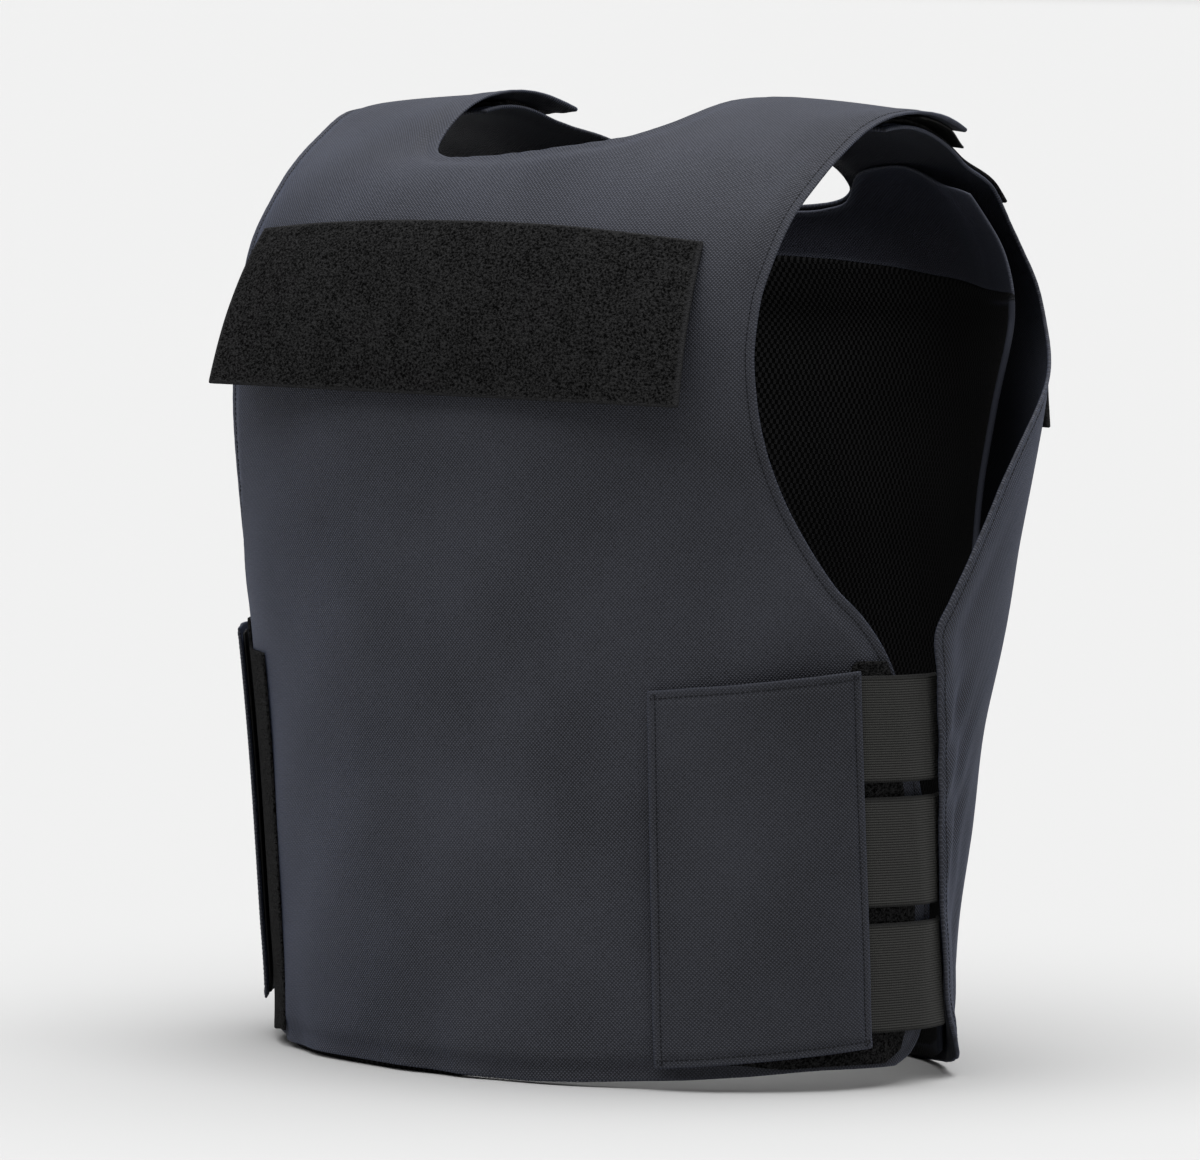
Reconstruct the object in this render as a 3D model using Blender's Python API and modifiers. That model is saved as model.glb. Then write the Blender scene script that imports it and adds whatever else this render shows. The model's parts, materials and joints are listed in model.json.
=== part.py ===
"""Armor carrier vest, standing on its hem.

The wearer faces -Y, the wearer's left is +X and Z is up. One form stands for
the body inside the vest: a run from the front hem over the shoulder to the
back hem, with its depth, height, half width and squareness. Every cloth
piece is drawn on that form with a place along the run ("path", metres) and
an angle round it (degrees from the middle), and a lift off it.
"""
import bmesh
import bpy
import numpy as np
from mathutils import Vector

# Form of the vest, from the front hem over the shoulder to the back hem
# columns: depth, height, half width, squareness of the section
FORM = np.array([
    (-0.133, 0.000, 0.174, 2.0),
    (-0.133, 0.020, 0.174, 2.0),
    (-0.134, 0.060, 0.178, 2.0),
    (-0.136, 0.150, 0.188, 2.0),
    (-0.138, 0.245, 0.200, 2.1),
    (-0.140, 0.310, 0.207, 2.3),
    (-0.135, 0.352, 0.211, 2.4),
    (-0.120, 0.392, 0.212, 2.5),
    (-0.091, 0.425, 0.212, 2.5),
    (-0.049, 0.447, 0.212, 2.4),
    (0.000, 0.4555, 0.212, 2.4),
    (0.049, 0.447, 0.212, 2.4),
    (0.093, 0.424, 0.214, 2.4),
    (0.129, 0.393, 0.218, 2.3),
    (0.150, 0.355, 0.219, 2.2),
    (0.1515, 0.310, 0.2115, 2.1),
    (0.1445, 0.245, 0.2035, 2.0),
    (0.127, 0.150, 0.188, 2.0),
    (0.120, 0.060, 0.178, 2.0),
    (0.119, 0.020, 0.176, 2.0),
    (0.119, 0.000, 0.176, 2.0),
])
STEPS = np.hypot(np.diff(FORM[:, 0]), np.diff(FORM[:, 1]))
RUN = np.concatenate([[0.0], np.cumsum(STEPS)])
BACK_HEM = RUN[-1]
SHOULDER_TOP = int(FORM[:, 1].argmax())
BODY_MIDDLE = 0.33          # above this height the form curves over the shoulders
SHOULDER_DROP = 0.008       # how far the shoulder falls at the strap's outer edge
SHOULDER_LEAN = 0.02        # the wearer's left shoulder stands a little higher
STRAP_EDGE = 0.165
ORIGIN = np.array([0.0, 0.0084, 0.0])   # middle of the vest's box at floor level

# Wall thicknesses, metres
FRONT_THICK = 0.005         # padded front panel
BACK_THICK = 0.003
LINING_THICK = 0.003        # spacer mesh
YOKE_THICK = 0.002
ID_FLAP_THICK = 0.0025
SIDE_FLAP_THICK = 0.0022
HOOK_THICK = 0.0012
LOOP_THICK = 0.0020
ELASTIC_THICK = 0.0016
PAD_THICK = 0.0016          # loop pad on the back strap
SEAT = 0.0003               # gap between two pieces that lie on each other
LINING_GAP = 0.0009         # room for the flats of the front panel over the lining
SEAM_GAP = 0.0009           # gap between the back mesh and the yoke, edge to edge
FLAT_GAP = 0.0008           # room for the flats of a curved panel under a sewn piece

# Front panel, one half: the inner edge runs up the middle, round the neck
# and along the strap; the outer edge runs up the side and the armhole
# columns: inner path, inner angle, outer path, outer angle
FRONT_ROWS = [
    (0.0025, 0.0, 0.0065, 84.0),
    (0.0140, 0.0, 0.0125, 89.5),
    (0.0280, 0.0, 0.0265, 92.5),
    (0.0520, 0.0, 0.0520, 91.8),
    (0.0790, 0.0, 0.0790, 90.5),
    (0.1080, 0.0, 0.1080, 87.5),
    (0.1376, 0.0, 0.1376, 83.2),
    (0.1680, 0.0, 0.1680, 78.0),
    (0.1991, 0.0, 0.1991, 71.5),
    (0.2194, 0.0, 0.2194, 64.9),
    (0.2325, 0.0, 0.2325, 59.4),
    (0.2533, 0.0, 0.2533, 53.4),
    (0.2741, 0.0, 0.2741, 48.9),
    (0.2970, 0.0, 0.2970, 45.5),
    (0.3200, 0.0, 0.3200, 43.3),
    (0.3452, 0.0, 0.3452, 41.9),
    (0.3664, 0.0, 0.3664, 41.6),
    (0.3865, 0.0, 0.3865, 42.1),
    (0.4110, 0.0, 0.4110, 42.7),
    (0.4435, 0.0, 0.4367, 43.9),
    (0.4478, 9.4, 0.4520, 44.3),
    (0.4540, 12.9, 0.4640, 44.6),
    (0.4640, 16.1, 0.4750, 44.7),
    (0.4780, 17.8, 0.4870, 44.8),
    (0.4950, 18.6, 0.4990, 45.0),
    (0.5150, 19.0, 0.5150, 45.3),
    (0.5360, 19.2, 0.5360, 45.4),
    (0.5580, 19.4, 0.5580, 45.4),
    (0.5760, 19.6, 0.5760, 45.4),
    (0.5920, 19.8, 0.5920, 45.4),
]
# Front lining of mesh: it hangs a little lower than the front panel
LINING_ROWS = [
    (0.0000, 0.0, 0.0035, 80.0),
    (0.0200, 0.0, 0.0200, 88.5),
    (0.0520, 0.0, 0.0520, 88.5),
    (0.0790, 0.0, 0.0790, 87.0),
    (0.1080, 0.0, 0.1080, 84.0),
    (0.1376, 0.0, 0.1376, 79.5),
    (0.1680, 0.0, 0.1680, 74.0),
    (0.1991, 0.0, 0.1991, 66.5),
    (0.2194, 0.0, 0.2194, 61.0),
    (0.2325, 0.0, 0.2325, 56.5),
    (0.2533, 0.0, 0.2533, 51.0),
    (0.2741, 0.0, 0.2741, 46.9),
    (0.2970, 0.0, 0.2970, 43.8),
    (0.3200, 0.0, 0.3200, 41.8),
    (0.3452, 0.0, 0.3452, 40.4),
    (0.3664, 0.0, 0.3664, 40.1),
    (0.3865, 0.0, 0.3865, 40.6),
]
# Back panel, one half, from the hem up to the end of its strap, which lies
# under the front strap
BACK_ROWS = [
    (1.0840, 0.0, 1.0790, 76.0),
    (1.0640, 0.0, 1.0660, 78.5),
    (1.0480, 0.0, 1.0480, 82.8),
    (1.0270, 0.0, 1.0270, 86.0),
    (1.0007, 0.0, 1.0007, 89.4),
    (0.9730, 0.0, 0.9730, 92.0),
    (0.9454, 0.0, 0.9454, 94.3),
    (0.9170, 0.0, 0.9170, 96.8),
    (0.8892, 0.0, 0.8892, 99.3),
    (0.8700, 0.0, 0.8700, 101.2),
    (0.8539, 0.0, 0.8539, 98.8),
    (0.8341, 0.0, 0.8341, 94.1),
    (0.8124, 0.0, 0.8124, 87.5),
    (0.7930, 0.0, 0.7940, 82.0),
    (0.7780, 0.0, 0.7780, 76.0),
    (0.7600, 0.0, 0.7650, 69.0),
    (0.7450, 0.0, 0.7540, 61.5),
    (0.7300, 0.0, 0.7430, 54.5),
    (0.7140, 0.0, 0.7290, 49.0),
    (0.6960, 0.0, 0.7100, 45.8),
    (0.6790, 0.0, 0.6880, 43.0),
    (0.6650, 0.0, 0.6690, 42.2),
    (0.6610, 9.5, 0.6590, 42.4),
    (0.6540, 15.6, 0.6480, 42.8),
    (0.6400, 19.0, 0.6350, 43.2),
    (0.6200, 19.8, 0.6200, 43.7),
    (0.6060, 20.0, 0.6060, 44.0),
    (0.5920, 20.2, 0.5920, 44.2),
    (0.5760, 20.0, 0.5760, 44.2),
    (0.5580, 19.8, 0.5580, 44.2),
    (0.5360, 19.6, 0.5360, 44.2),
    (0.5150, 19.4, 0.5150, 44.2),
]
# Back mesh and the yoke above it: the inner wall of the back
# columns: path, outer angle
MESH_ROWS = [
    (1.0825, 68.0), (1.0640, 70.0), (1.0400, 71.0), (1.0100, 71.5), (0.9750, 71.5),
    (0.9400, 71.5), (0.9050, 71.0), (0.8760, 70.5), (0.8500, 69.0), (0.8274, 65.5),
    (0.8060, 64.3), (0.7860, 63.7), (0.7660, 63.2), (0.7470, 62.6), (0.7300, 60.5),
]
YOKE_EDGE = (59.0, 56.5, 53.6, 51.5, 50.5)
# columns: angle, path of the seam, path of the yoke's top edge
YOKE_TOP = np.array([
    (0.0, 0.6955, 0.6650), (9.0, 0.6980, 0.6625), (16.5, 0.7000, 0.6540),
    (22.0, 0.7020, 0.6380), (28.5, 0.7045, 0.6240), (35.5, 0.7070, 0.6180),
    (43.0, 0.7100, 0.6190), (50.5, 0.7140, 0.6280), (59.0, 0.7180, 0.6400),
])
# Where the columns of a half panel stand between its inner and outer edge
SHARE = np.array([0.0, 0.14, 0.28, 0.42, 0.56, 0.69, 0.80, 0.90, 1.0])

# Chest and back panels that take an identity sign, loop faced, hung by the top
# columns: half width at the top, at the bottom, depth of the bottom edge in
# the middle, its fall towards the ends, height of the bottom edge
CHEST_FLAP = dict(top=0.1265, bottom=0.1335, depth=-0.1470, fall=0.0055, low=0.3175)
BACK_FLAP = dict(top=0.1520, bottom=0.1580, depth=0.1640, fall=0.0300, low=0.3010)
CHEST_FLAP_TOP = (0.3985, 0.0055)   # path in the middle, how far it drops at the ends
BACK_FLAP_TOP = (0.6990, -0.0030)
FLAP_COLUMNS = 11
FLAP_ROWS = 4

# Side closures
# columns: angle and path of a corner, front top, rear top, rear bottom, front bottom
LEFT_FLAP = ((31.9, 0.1844), (65.0, 0.1959), (74.6, 0.0172), (36.1, 0.0085))
RIGHT_FLAP_DEPTH = (-0.0660, 0.0330)
RIGHT_FLAP_HEIGHT = (0.0300, 0.2060)
RIGHT_FLAP_LIFT = (0.0070, 0.0109)      # at its front edge, over the back panel
FLARE = 0.0065              # the back panel's side edges stand off over the bands
LOOP_FIELD = (46.0, 0.925)          # first angle, share of the panel's outer angle
LOOP_FIELD_PATH = (0.0070, 0.0125, 0.0265, 0.0520, 0.0790, 0.1080, 0.1376, 0.1680, 0.1950)
# each row: height, depth of the end under the flap, depth where the band
# comes down, depth of the back panel's edge, depth of the end under the back
# panel; the lower row first, then the upper row of the band
ELASTICS = {
    "upper": ((0.1425, -0.063, -0.031, -0.014, -0.002), (0.1925, -0.070, -0.046, -0.026, -0.014)),
    "middle": ((0.0830, -0.056, -0.014, 0.0005, 0.012), (0.1340, -0.061, -0.028, -0.012, 0.000)),
    "lower": ((0.0240, -0.043, -0.008, 0.018, 0.0305), (0.0745, -0.049, -0.011, 0.0035, 0.0145)),
}
BAND_LIFT = (0.0052, 0.0026, -0.0026)   # over the loop field, at the back edge, at its end
ELASTIC_COLUMNS = 8
RIGHT_BAND_END = -0.0340            # the right bands end under their flap
RIGHT_BAND_LIFT = 0.0074
HOOK_INSET = 0.0025                 # the hook lining ends this far inside its flap
# Shoulder pads: paths of the rows, and the angles that they reach to
HOOK_PATCH_PATH = (0.5580, 0.5760, 0.5920, 0.6000)
HOOK_PATCH_ANGLE = (20.6, 44.4)
LOOP_PAD_PATH = (0.5150, 0.5360, 0.5580, 0.5760, 0.5920, 0.6060, 0.6200, 0.6350, 0.6480, 0.6590)
LOOP_PAD_ANGLE = (21.0, 43.0)
STRAP_ANGLE = (19.9, 45.1)          # the strap's own edges, for the pads' columns

COLLECTION = "armor_carrier_vest"


def smooth(table, keys, at):
    """Value of a table at a place between its rows, by a cubic curve."""
    at = np.clip(at, keys[0], keys[-1])
    slopes = np.gradient(table, keys, axis=0)
    k = np.clip(np.searchsorted(keys, at, side="right") - 1, 0, len(keys) - 2)
    wide = (keys[k + 1] - keys[k])[..., None]
    t = (at[..., None] - keys[k][..., None]) / wide
    first = (2 * t**3 - 3 * t**2 + 1) * table[k] + (t**3 - 2 * t**2 + t) * wide * slopes[k]
    last = (3 * t**2 - 2 * t**3) * table[k + 1] + (t**3 - t**2) * wide * slopes[k + 1]
    return first + last


def ease(t):
    """Smooth step from 0 to 1."""
    t = np.clip(t, 0.0, 1.0)
    return t * t * (3 - 2 * t)


def on_form(path, angle):
    """Place on the form; the angle is in degrees, plus towards the wearer's left."""
    depth, height, half, square = np.moveaxis(smooth(FORM, RUN, path), -1, 0)
    s = np.sin(np.radians(angle))
    c = np.cos(np.radians(angle))
    reach = (np.abs(s) ** square + np.abs(c) ** square) ** (-1 / square)
    x = half * reach * s
    fall = SHOULDER_LEAN * x - SHOULDER_DROP * (x / STRAP_EDGE) ** 2
    height = height + fall * ease((height - 0.36) / 0.09)
    return np.stack([x, depth * reach * c, height], -1)


def place(path, angle, lift=0.0):
    """Place lifted off the form along its outward direction."""
    path, angle, lift = np.broadcast_arrays(np.asarray(path, float), angle, lift)
    here = on_form(path, angle)
    step = 1e-4
    along = on_form(path + step, angle) - on_form(path - step, angle)
    inside = (path > step) & (path < BACK_HEM - step)
    upright = np.where(path < 0.5, 1.0, -1.0)[..., None] * (0.0, 0.0, 1.0)
    along = np.where(inside[..., None], along, upright)
    round_ = on_form(path, angle + 0.01) - on_form(path, angle - 0.01)
    out = np.cross(round_, along)
    out /= np.linalg.norm(out, axis=-1, keepdims=True)
    core = here * (0, 0, 1.0)
    core[..., 2] = np.minimum(core[..., 2], BODY_MIDDLE)
    turn = np.sign(np.sum(out * (here - core), -1, keepdims=True))
    return here + out * turn * lift[..., None]


def path_at(height, side):
    """Place along the run at a height, on the front (-1) or the back (1)."""
    rows = slice(SHOULDER_TOP, None) if side > 0 else slice(0, SHOULDER_TOP + 1)
    order = np.argsort(FORM[rows, 1])
    return np.interp(height, FORM[rows, 1][order], RUN[rows][order])


def angle_at(path, across):
    """Angle on the form at a distance from the middle plane."""
    half, square = np.moveaxis(smooth(FORM, RUN, path), -1, 0)[2:]
    part = (np.abs(across) / half) ** square
    return np.degrees(np.arctan((part / (1 - part)) ** (1 / square))) * np.sign(across)


def at_height(depth, height, lift, side):
    """Place on the side of the form at a given depth and height."""
    depth, height, lift = np.broadcast_arrays(np.asarray(depth, float), height, lift)
    front = smooth(FORM, RUN, path_at(height, -1))
    back = smooth(FORM, RUN, path_at(height, 1))
    mix = ease((depth + 0.02) / 0.04)
    wide = 0.0
    for row, weight in ((front, 1 - mix), (back, mix)):
        share = np.clip(np.abs(depth / row[..., 0]), 0.0, 0.99)
        wide = wide + weight * row[..., 2] * (1 - share ** row[..., 3]) ** (1 / row[..., 3])
    deep = front[..., 0] ** 2 * (1 - mix) + back[..., 0] ** 2 * mix
    half = front[..., 2] * (1 - mix) + back[..., 2] * mix
    out_x, out_y = wide / half**2, depth / deep
    size = np.hypot(out_x, out_y)
    return np.stack([side * (wide + lift * out_x / size), depth + lift * out_y / size, height], -1)


def back_lift(path, angle):
    """Back panel: its strap dips under the front strap, its side edges flare."""
    dip = -0.0091 * ease((0.672 - path) / 0.056)
    wall = np.array(BACK_ROWS)[::-1]
    edge = np.interp(path, wall[:, 2], wall[:, 3])
    flare = FLARE * ease((np.abs(angle) - edge + 10.0) / 9.0)
    return dip + flare * ease((path - 0.800) / 0.060)


def liner_lift(path, angle):
    """Inner wall of the back: it stands off the outer wall towards the top."""
    share = ease((1.075 - path) / 0.22)
    side = ease(np.abs(angle) / 55.0) * ease((0.90 - path) / 0.10)
    return -0.0040 - 0.0096 * share - 0.0080 * side


def left_flap_lift(angle):
    """Side flap: low at its front edge, higher over the loop field."""
    return 0.0050 + 0.0029 * ease((angle - 36.0) / 9.0)


def material(name, color, roughness):
    """Plain cloth material."""
    made = bpy.data.materials.new(name)
    made.use_nodes = True
    shader = made.node_tree.nodes["Principled BSDF"]
    shader.inputs["Base Color"].default_value = (*color, 1.0)
    shader.inputs["Roughness"].default_value = roughness
    return made


def solid(name, grids, thickness, look):
    """One closed piece from open grids of outer places, thickened inwards."""
    mesh = bmesh.new()
    for grid in grids:
        rows, columns = grid.shape[:2]
        grid = grid - ORIGIN
        points = [[mesh.verts.new(grid[r, c]) for c in range(columns)] for r in range(rows)]
        for r in range(rows - 1):
            for c in range(columns - 1):
                corners = points[r][c], points[r][c + 1], points[r + 1][c + 1], points[r + 1][c]
                mesh.faces.new(corners)
    bmesh.ops.remove_doubles(mesh, verts=mesh.verts, dist=1e-5)
    bmesh.ops.recalc_face_normals(mesh, faces=mesh.faces)
    facing = 0.0
    for face in mesh.faces:
        middle = face.calc_center_median()
        core = Vector((0.0, 0.0, min(middle.z, BODY_MIDDLE)))
        facing += face.calc_area() * face.normal.dot(middle - core)
    if facing < 0:
        bmesh.ops.reverse_faces(mesh, faces=mesh.faces)
    data = bpy.data.meshes.new(name)
    mesh.to_mesh(data)
    mesh.free()
    piece = bpy.data.objects.new(name, data)
    bpy.data.collections[COLLECTION].objects.link(piece)
    data.materials.append(look)
    thicken = piece.modifiers.new("thickness", "SOLIDIFY")
    thicken.thickness = thickness
    thicken.offset = -1.0
    return piece


def half_panel(rows):
    """Paths and angles of one half of a panel from its table of edges."""
    table = np.array(rows)
    path = table[:, 0:1] + (table[:, 2:3] - table[:, 0:1]) * SHARE
    angle = table[:, 1:2] + (table[:, 3:4] - table[:, 1:2]) * SHARE
    return path, angle


def hem_rise(path, angle, start, low, high):
    """The hem stays low in the middle and rises from 30 to 60 degrees."""
    path[0] = low + (high - low) * ease((angle[0] - start) / 30.0)
    return path


def front_panel(look):
    """Outer wall of the front with both shoulder straps."""
    path, angle = half_panel(FRONT_ROWS)
    path = hem_rise(path, angle, 30.0, 0.0025, 0.0065)
    grids = [place(path, side * angle) for side in (1, -1)]
    return solid("front_panel", grids, FRONT_THICK, look)


def front_lining(look):
    """Mesh inner wall of the front."""
    outer = -(FRONT_THICK + LINING_GAP)
    path, angle = half_panel(LINING_ROWS)
    wall = np.array(FRONT_ROWS)
    # the columns stand at the front panel's own angles, but the last one
    for r in range(len(path)):
        edge = np.interp(path[r, 0], wall[:, 0], wall[:, 3])
        angle[r, :-1] = edge * SHARE[:-1]
    path = hem_rise(path, angle, 30.0, 0.0, 0.0035)
    grids = [place(path, side * angle, outer) for side in (1, -1)]
    return solid("front_lining", grids, LINING_THICK, look)


def back_panel(look):
    """Outer wall of the back; its straps lie under the front straps."""
    path, angle = half_panel(BACK_ROWS)
    path = hem_rise(path, angle, 36.0, BACK_HEM, 1.0800)
    grids = [place(path, side * angle, back_lift(path, angle)) for side in (1, -1)]
    return solid("back_panel", grids, BACK_THICK, look)


def back_inner_wall(mesh_look, yoke_look):
    """Mesh wall inside the back and the cloth yoke above its seam."""
    share = np.linspace(-1.0, 1.0, 17)
    table = np.array(MESH_ROWS)
    path = np.repeat(table[:, 0:1], len(share), axis=1)
    angle = table[:, 1:2] * share
    seam_angle = YOKE_EDGE[0] * share
    seam = np.interp(np.abs(seam_angle), YOKE_TOP[:, 0], YOKE_TOP[:, 1])
    path = np.concatenate([path, [seam + SEAM_GAP / 2]])
    angle = np.concatenate([angle, [seam_angle]])
    wall = solid("back_mesh", [place(path, angle, liner_lift(path, angle))], LINING_THICK, mesh_look)

    angle = np.array(YOKE_EDGE)[:, None] * share
    top = np.interp(np.abs(angle[-1]), YOKE_TOP[:, 0], YOKE_TOP[:, 2])
    climb = np.linspace(0.0, 1.0, len(YOKE_EDGE))[:, None]
    path = (seam - SEAM_GAP / 2) * (1 - climb) + top * climb
    yoke = solid("back_yoke", [place(path, angle, liner_lift(path, angle))], YOKE_THICK, yoke_look)
    return wall, yoke


def hung_flap(name, shape, top_row, look):
    """Stiff loop faced panel, sewn along its top edge and hanging free below."""
    side = 1 if shape["depth"] > 0 else -1
    share = np.linspace(-1.0, 1.0, FLAP_COLUMNS + 1)
    down = np.linspace(0.0, 1.0, FLAP_ROWS + 1)[:, None]
    top = top_row[0] - top_row[1] * share**2
    path = top * (1 - down) + path_at(shape["low"], side) * down
    wide = shape["top"] * (1 - down) + shape["bottom"] * down
    grid = place(path, angle_at(path, share * wide), FLAT_GAP + ID_FLAP_THICK)
    bottom = np.stack([
        share * shape["bottom"],
        shape["depth"] - side * shape["fall"] * share**2,
        np.full_like(share, shape["low"]),
    ], -1)
    grid += (bottom - grid[-1]) * down[..., None] ** 1.3
    return solid(name, [grid], ID_FLAP_THICK, look)


def loop_field(side, look):
    """Black loop field on the side of the front panel."""
    wall = np.array(FRONT_ROWS)
    path = np.array(LOOP_FIELD_PATH)
    edge = np.interp(path, wall[:, 2], wall[:, 3]) * LOOP_FIELD[1]
    share = np.linspace(0.0, 1.0, 7)
    angle = LOOP_FIELD[0] + (edge[:, None] - LOOP_FIELD[0]) * share
    path = np.repeat(path[:, None], 7, axis=1)
    path[0] += 0.0022 * ease((angle[0] - 50.0) / 20.0)
    lift = LOOP_THICK + FLAT_GAP
    name = "loop_field_left" if side > 0 else "loop_field_right"
    return solid(name, [place(path, side * angle, lift)], LOOP_THICK, look)


def corner_grid(corners, across, up):
    """Grid of angles and paths between four corners, at shares of the way."""
    u = np.asarray(across, float)[None, :, None]
    v = np.asarray(up, float)[:, None, None]
    c = np.array(corners)
    top = c[0] * (1 - u) + c[1] * u
    bottom = c[3] * (1 - u) + c[2] * u
    return top * (1 - v) + bottom * v


def left_flap(cloth, hook):
    """Closure flap on the wearer's left with its hook lining."""
    across, up = np.linspace(0, 1, 9), np.linspace(0, 1, 7)
    grid = corner_grid(LEFT_FLAP, across, up)
    angle, path = grid[..., 0], grid[..., 1]
    lift = left_flap_lift(angle)
    flap = solid("side_flap_left", [place(path, angle, lift)], SIDE_FLAP_THICK, cloth)
    across = np.concatenate([[0.02], across[1:7], [0.815]])
    up = np.concatenate([[0.02], up[1:6], [0.98]])
    inner = corner_grid(LEFT_FLAP, across, up)
    angle, path = inner[..., 0], inner[..., 1]
    lift = left_flap_lift(angle) - SIDE_FLAP_THICK - SEAT
    lining = solid("flap_hook_left", [place(path, angle, lift)], HOOK_THICK, hook)
    return flap, lining


def elastic(name, side, band, look):
    """Ribbed elastic band from inside the back panel's edge to the flap."""
    rows = []
    for height, front, down, edge, back in (band[0], np.mean(band, axis=0), band[1]):
        over = BAND_LIFT[0]
        keys = [front, down, (down + edge) / 2, edge, back]
        if side < 0:
            over = RIGHT_BAND_LIFT
            down = RIGHT_BAND_END
            keys = [down, (down + edge) / 2, edge, back]
        spread = np.linspace(0, len(keys) - 1, ELASTIC_COLUMNS + 1)
        depth = np.interp(spread, np.arange(len(keys)), keys)
        lift = over + (BAND_LIFT[1] - over) * ease((depth - down) / (edge - down))
        lift += (BAND_LIFT[2] - BAND_LIFT[1]) * np.clip((depth - edge) / (back - edge), 0, 1)
        rows.append(at_height(depth, height, lift, side))
    return solid(name, [np.array(rows)], ELASTIC_THICK, look)


def right_flap_lift(depth):
    """Side flap on the wearer's right: higher over the bands and the back panel."""
    low, high = RIGHT_FLAP_LIFT
    return low + (high - low) * ease((depth + 0.058) / 0.026)


def right_flap(cloth, hook):
    """Closure flap on the wearer's right, set further back than the left one."""
    depth = np.linspace(*RIGHT_FLAP_DEPTH, 9)[None, :]
    height = np.linspace(*RIGHT_FLAP_HEIGHT, 7)[:, None]
    grid = at_height(depth, height, right_flap_lift(depth), -1)
    flap = solid("side_flap_right", [grid], SIDE_FLAP_THICK, cloth)
    depth = np.concatenate([depth[:, :1] + HOOK_INSET, depth[:, 1:3]], axis=1)
    height = np.concatenate([height[:1] + HOOK_INSET, height[1:6], height[6:] - HOOK_INSET])
    lift = right_flap_lift(depth) - SIDE_FLAP_THICK - SEAT
    lining = solid("flap_hook_right", [at_height(depth, height, lift, -1)], HOOK_THICK, hook)
    return flap, lining


def shoulder_pads(side, hook, loop):
    """Hook patch under the front strap's end and loop pad on the back strap."""
    word = "left" if side > 0 else "right"
    columns = STRAP_ANGLE[0] + (STRAP_ANGLE[1] - STRAP_ANGLE[0]) * SHARE[None, :]
    path = np.array(HOOK_PATCH_PATH)[:, None]
    grid = place(path, side * np.clip(columns, *HOOK_PATCH_ANGLE), -(FRONT_THICK + SEAT))
    patch = solid("shoulder_hook_" + word, [grid], HOOK_THICK, hook)
    path = np.array(LOOP_PAD_PATH)[:, None]
    angle = np.clip(columns, *LOOP_PAD_ANGLE)
    grid = place(path, side * angle, back_lift(path, angle) + FLAT_GAP / 2 + PAD_THICK)
    pad = solid("shoulder_loop_" + word, [grid], PAD_THICK, loop)
    return patch, pad


def build():
    """Clears the scene and builds every piece."""
    for old in list(bpy.data.objects):
        bpy.data.objects.remove(old, do_unlink=True)
    group = bpy.data.collections.new(COLLECTION)
    bpy.context.scene.collection.children.link(group)
    navy = material("navy_cloth", (0.022, 0.026, 0.040), 0.85)
    loop = material("black_loop", (0.008, 0.008, 0.009), 0.95)
    hook = material("black_hook", (0.012, 0.012, 0.012), 0.60)
    mesh = material("black_mesh", (0.010, 0.010, 0.010), 0.80)
    band = material("dark_elastic", (0.030, 0.031, 0.029), 0.80)

    front_panel(navy)
    front_lining(mesh)
    back_panel(navy)
    back_inner_wall(mesh, navy)
    hung_flap("chest_flap", CHEST_FLAP, CHEST_FLAP_TOP, loop)
    hung_flap("back_flap", BACK_FLAP, BACK_FLAP_TOP, loop)
    left_flap(navy, hook)
    right_flap(navy, hook)
    for side in (1, -1):
        loop_field(side, loop)
        shoulder_pads(side, hook, loop)
    for word, band_sizes in ELASTICS.items():
        elastic("elastic_left_" + word, 1, band_sizes, band)
        elastic("elastic_right_" + word, -1, band_sizes, band)


build()
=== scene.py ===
"""Looks of the armor carrier vest: woven cloth, mesh, loop pile, elastics and stitching.

The wearer faces -Y, the wearer's left is +X and Z is up. Cloth pieces are drawn on one form of
the vest, with a path along its run from the front hem over the shoulder to the back hem, an angle
round it and a lift off it. Each becomes a closed wall with rolled edges, and Geometry Nodes sew
the stitches along it.
"""
import json
import math

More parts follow.
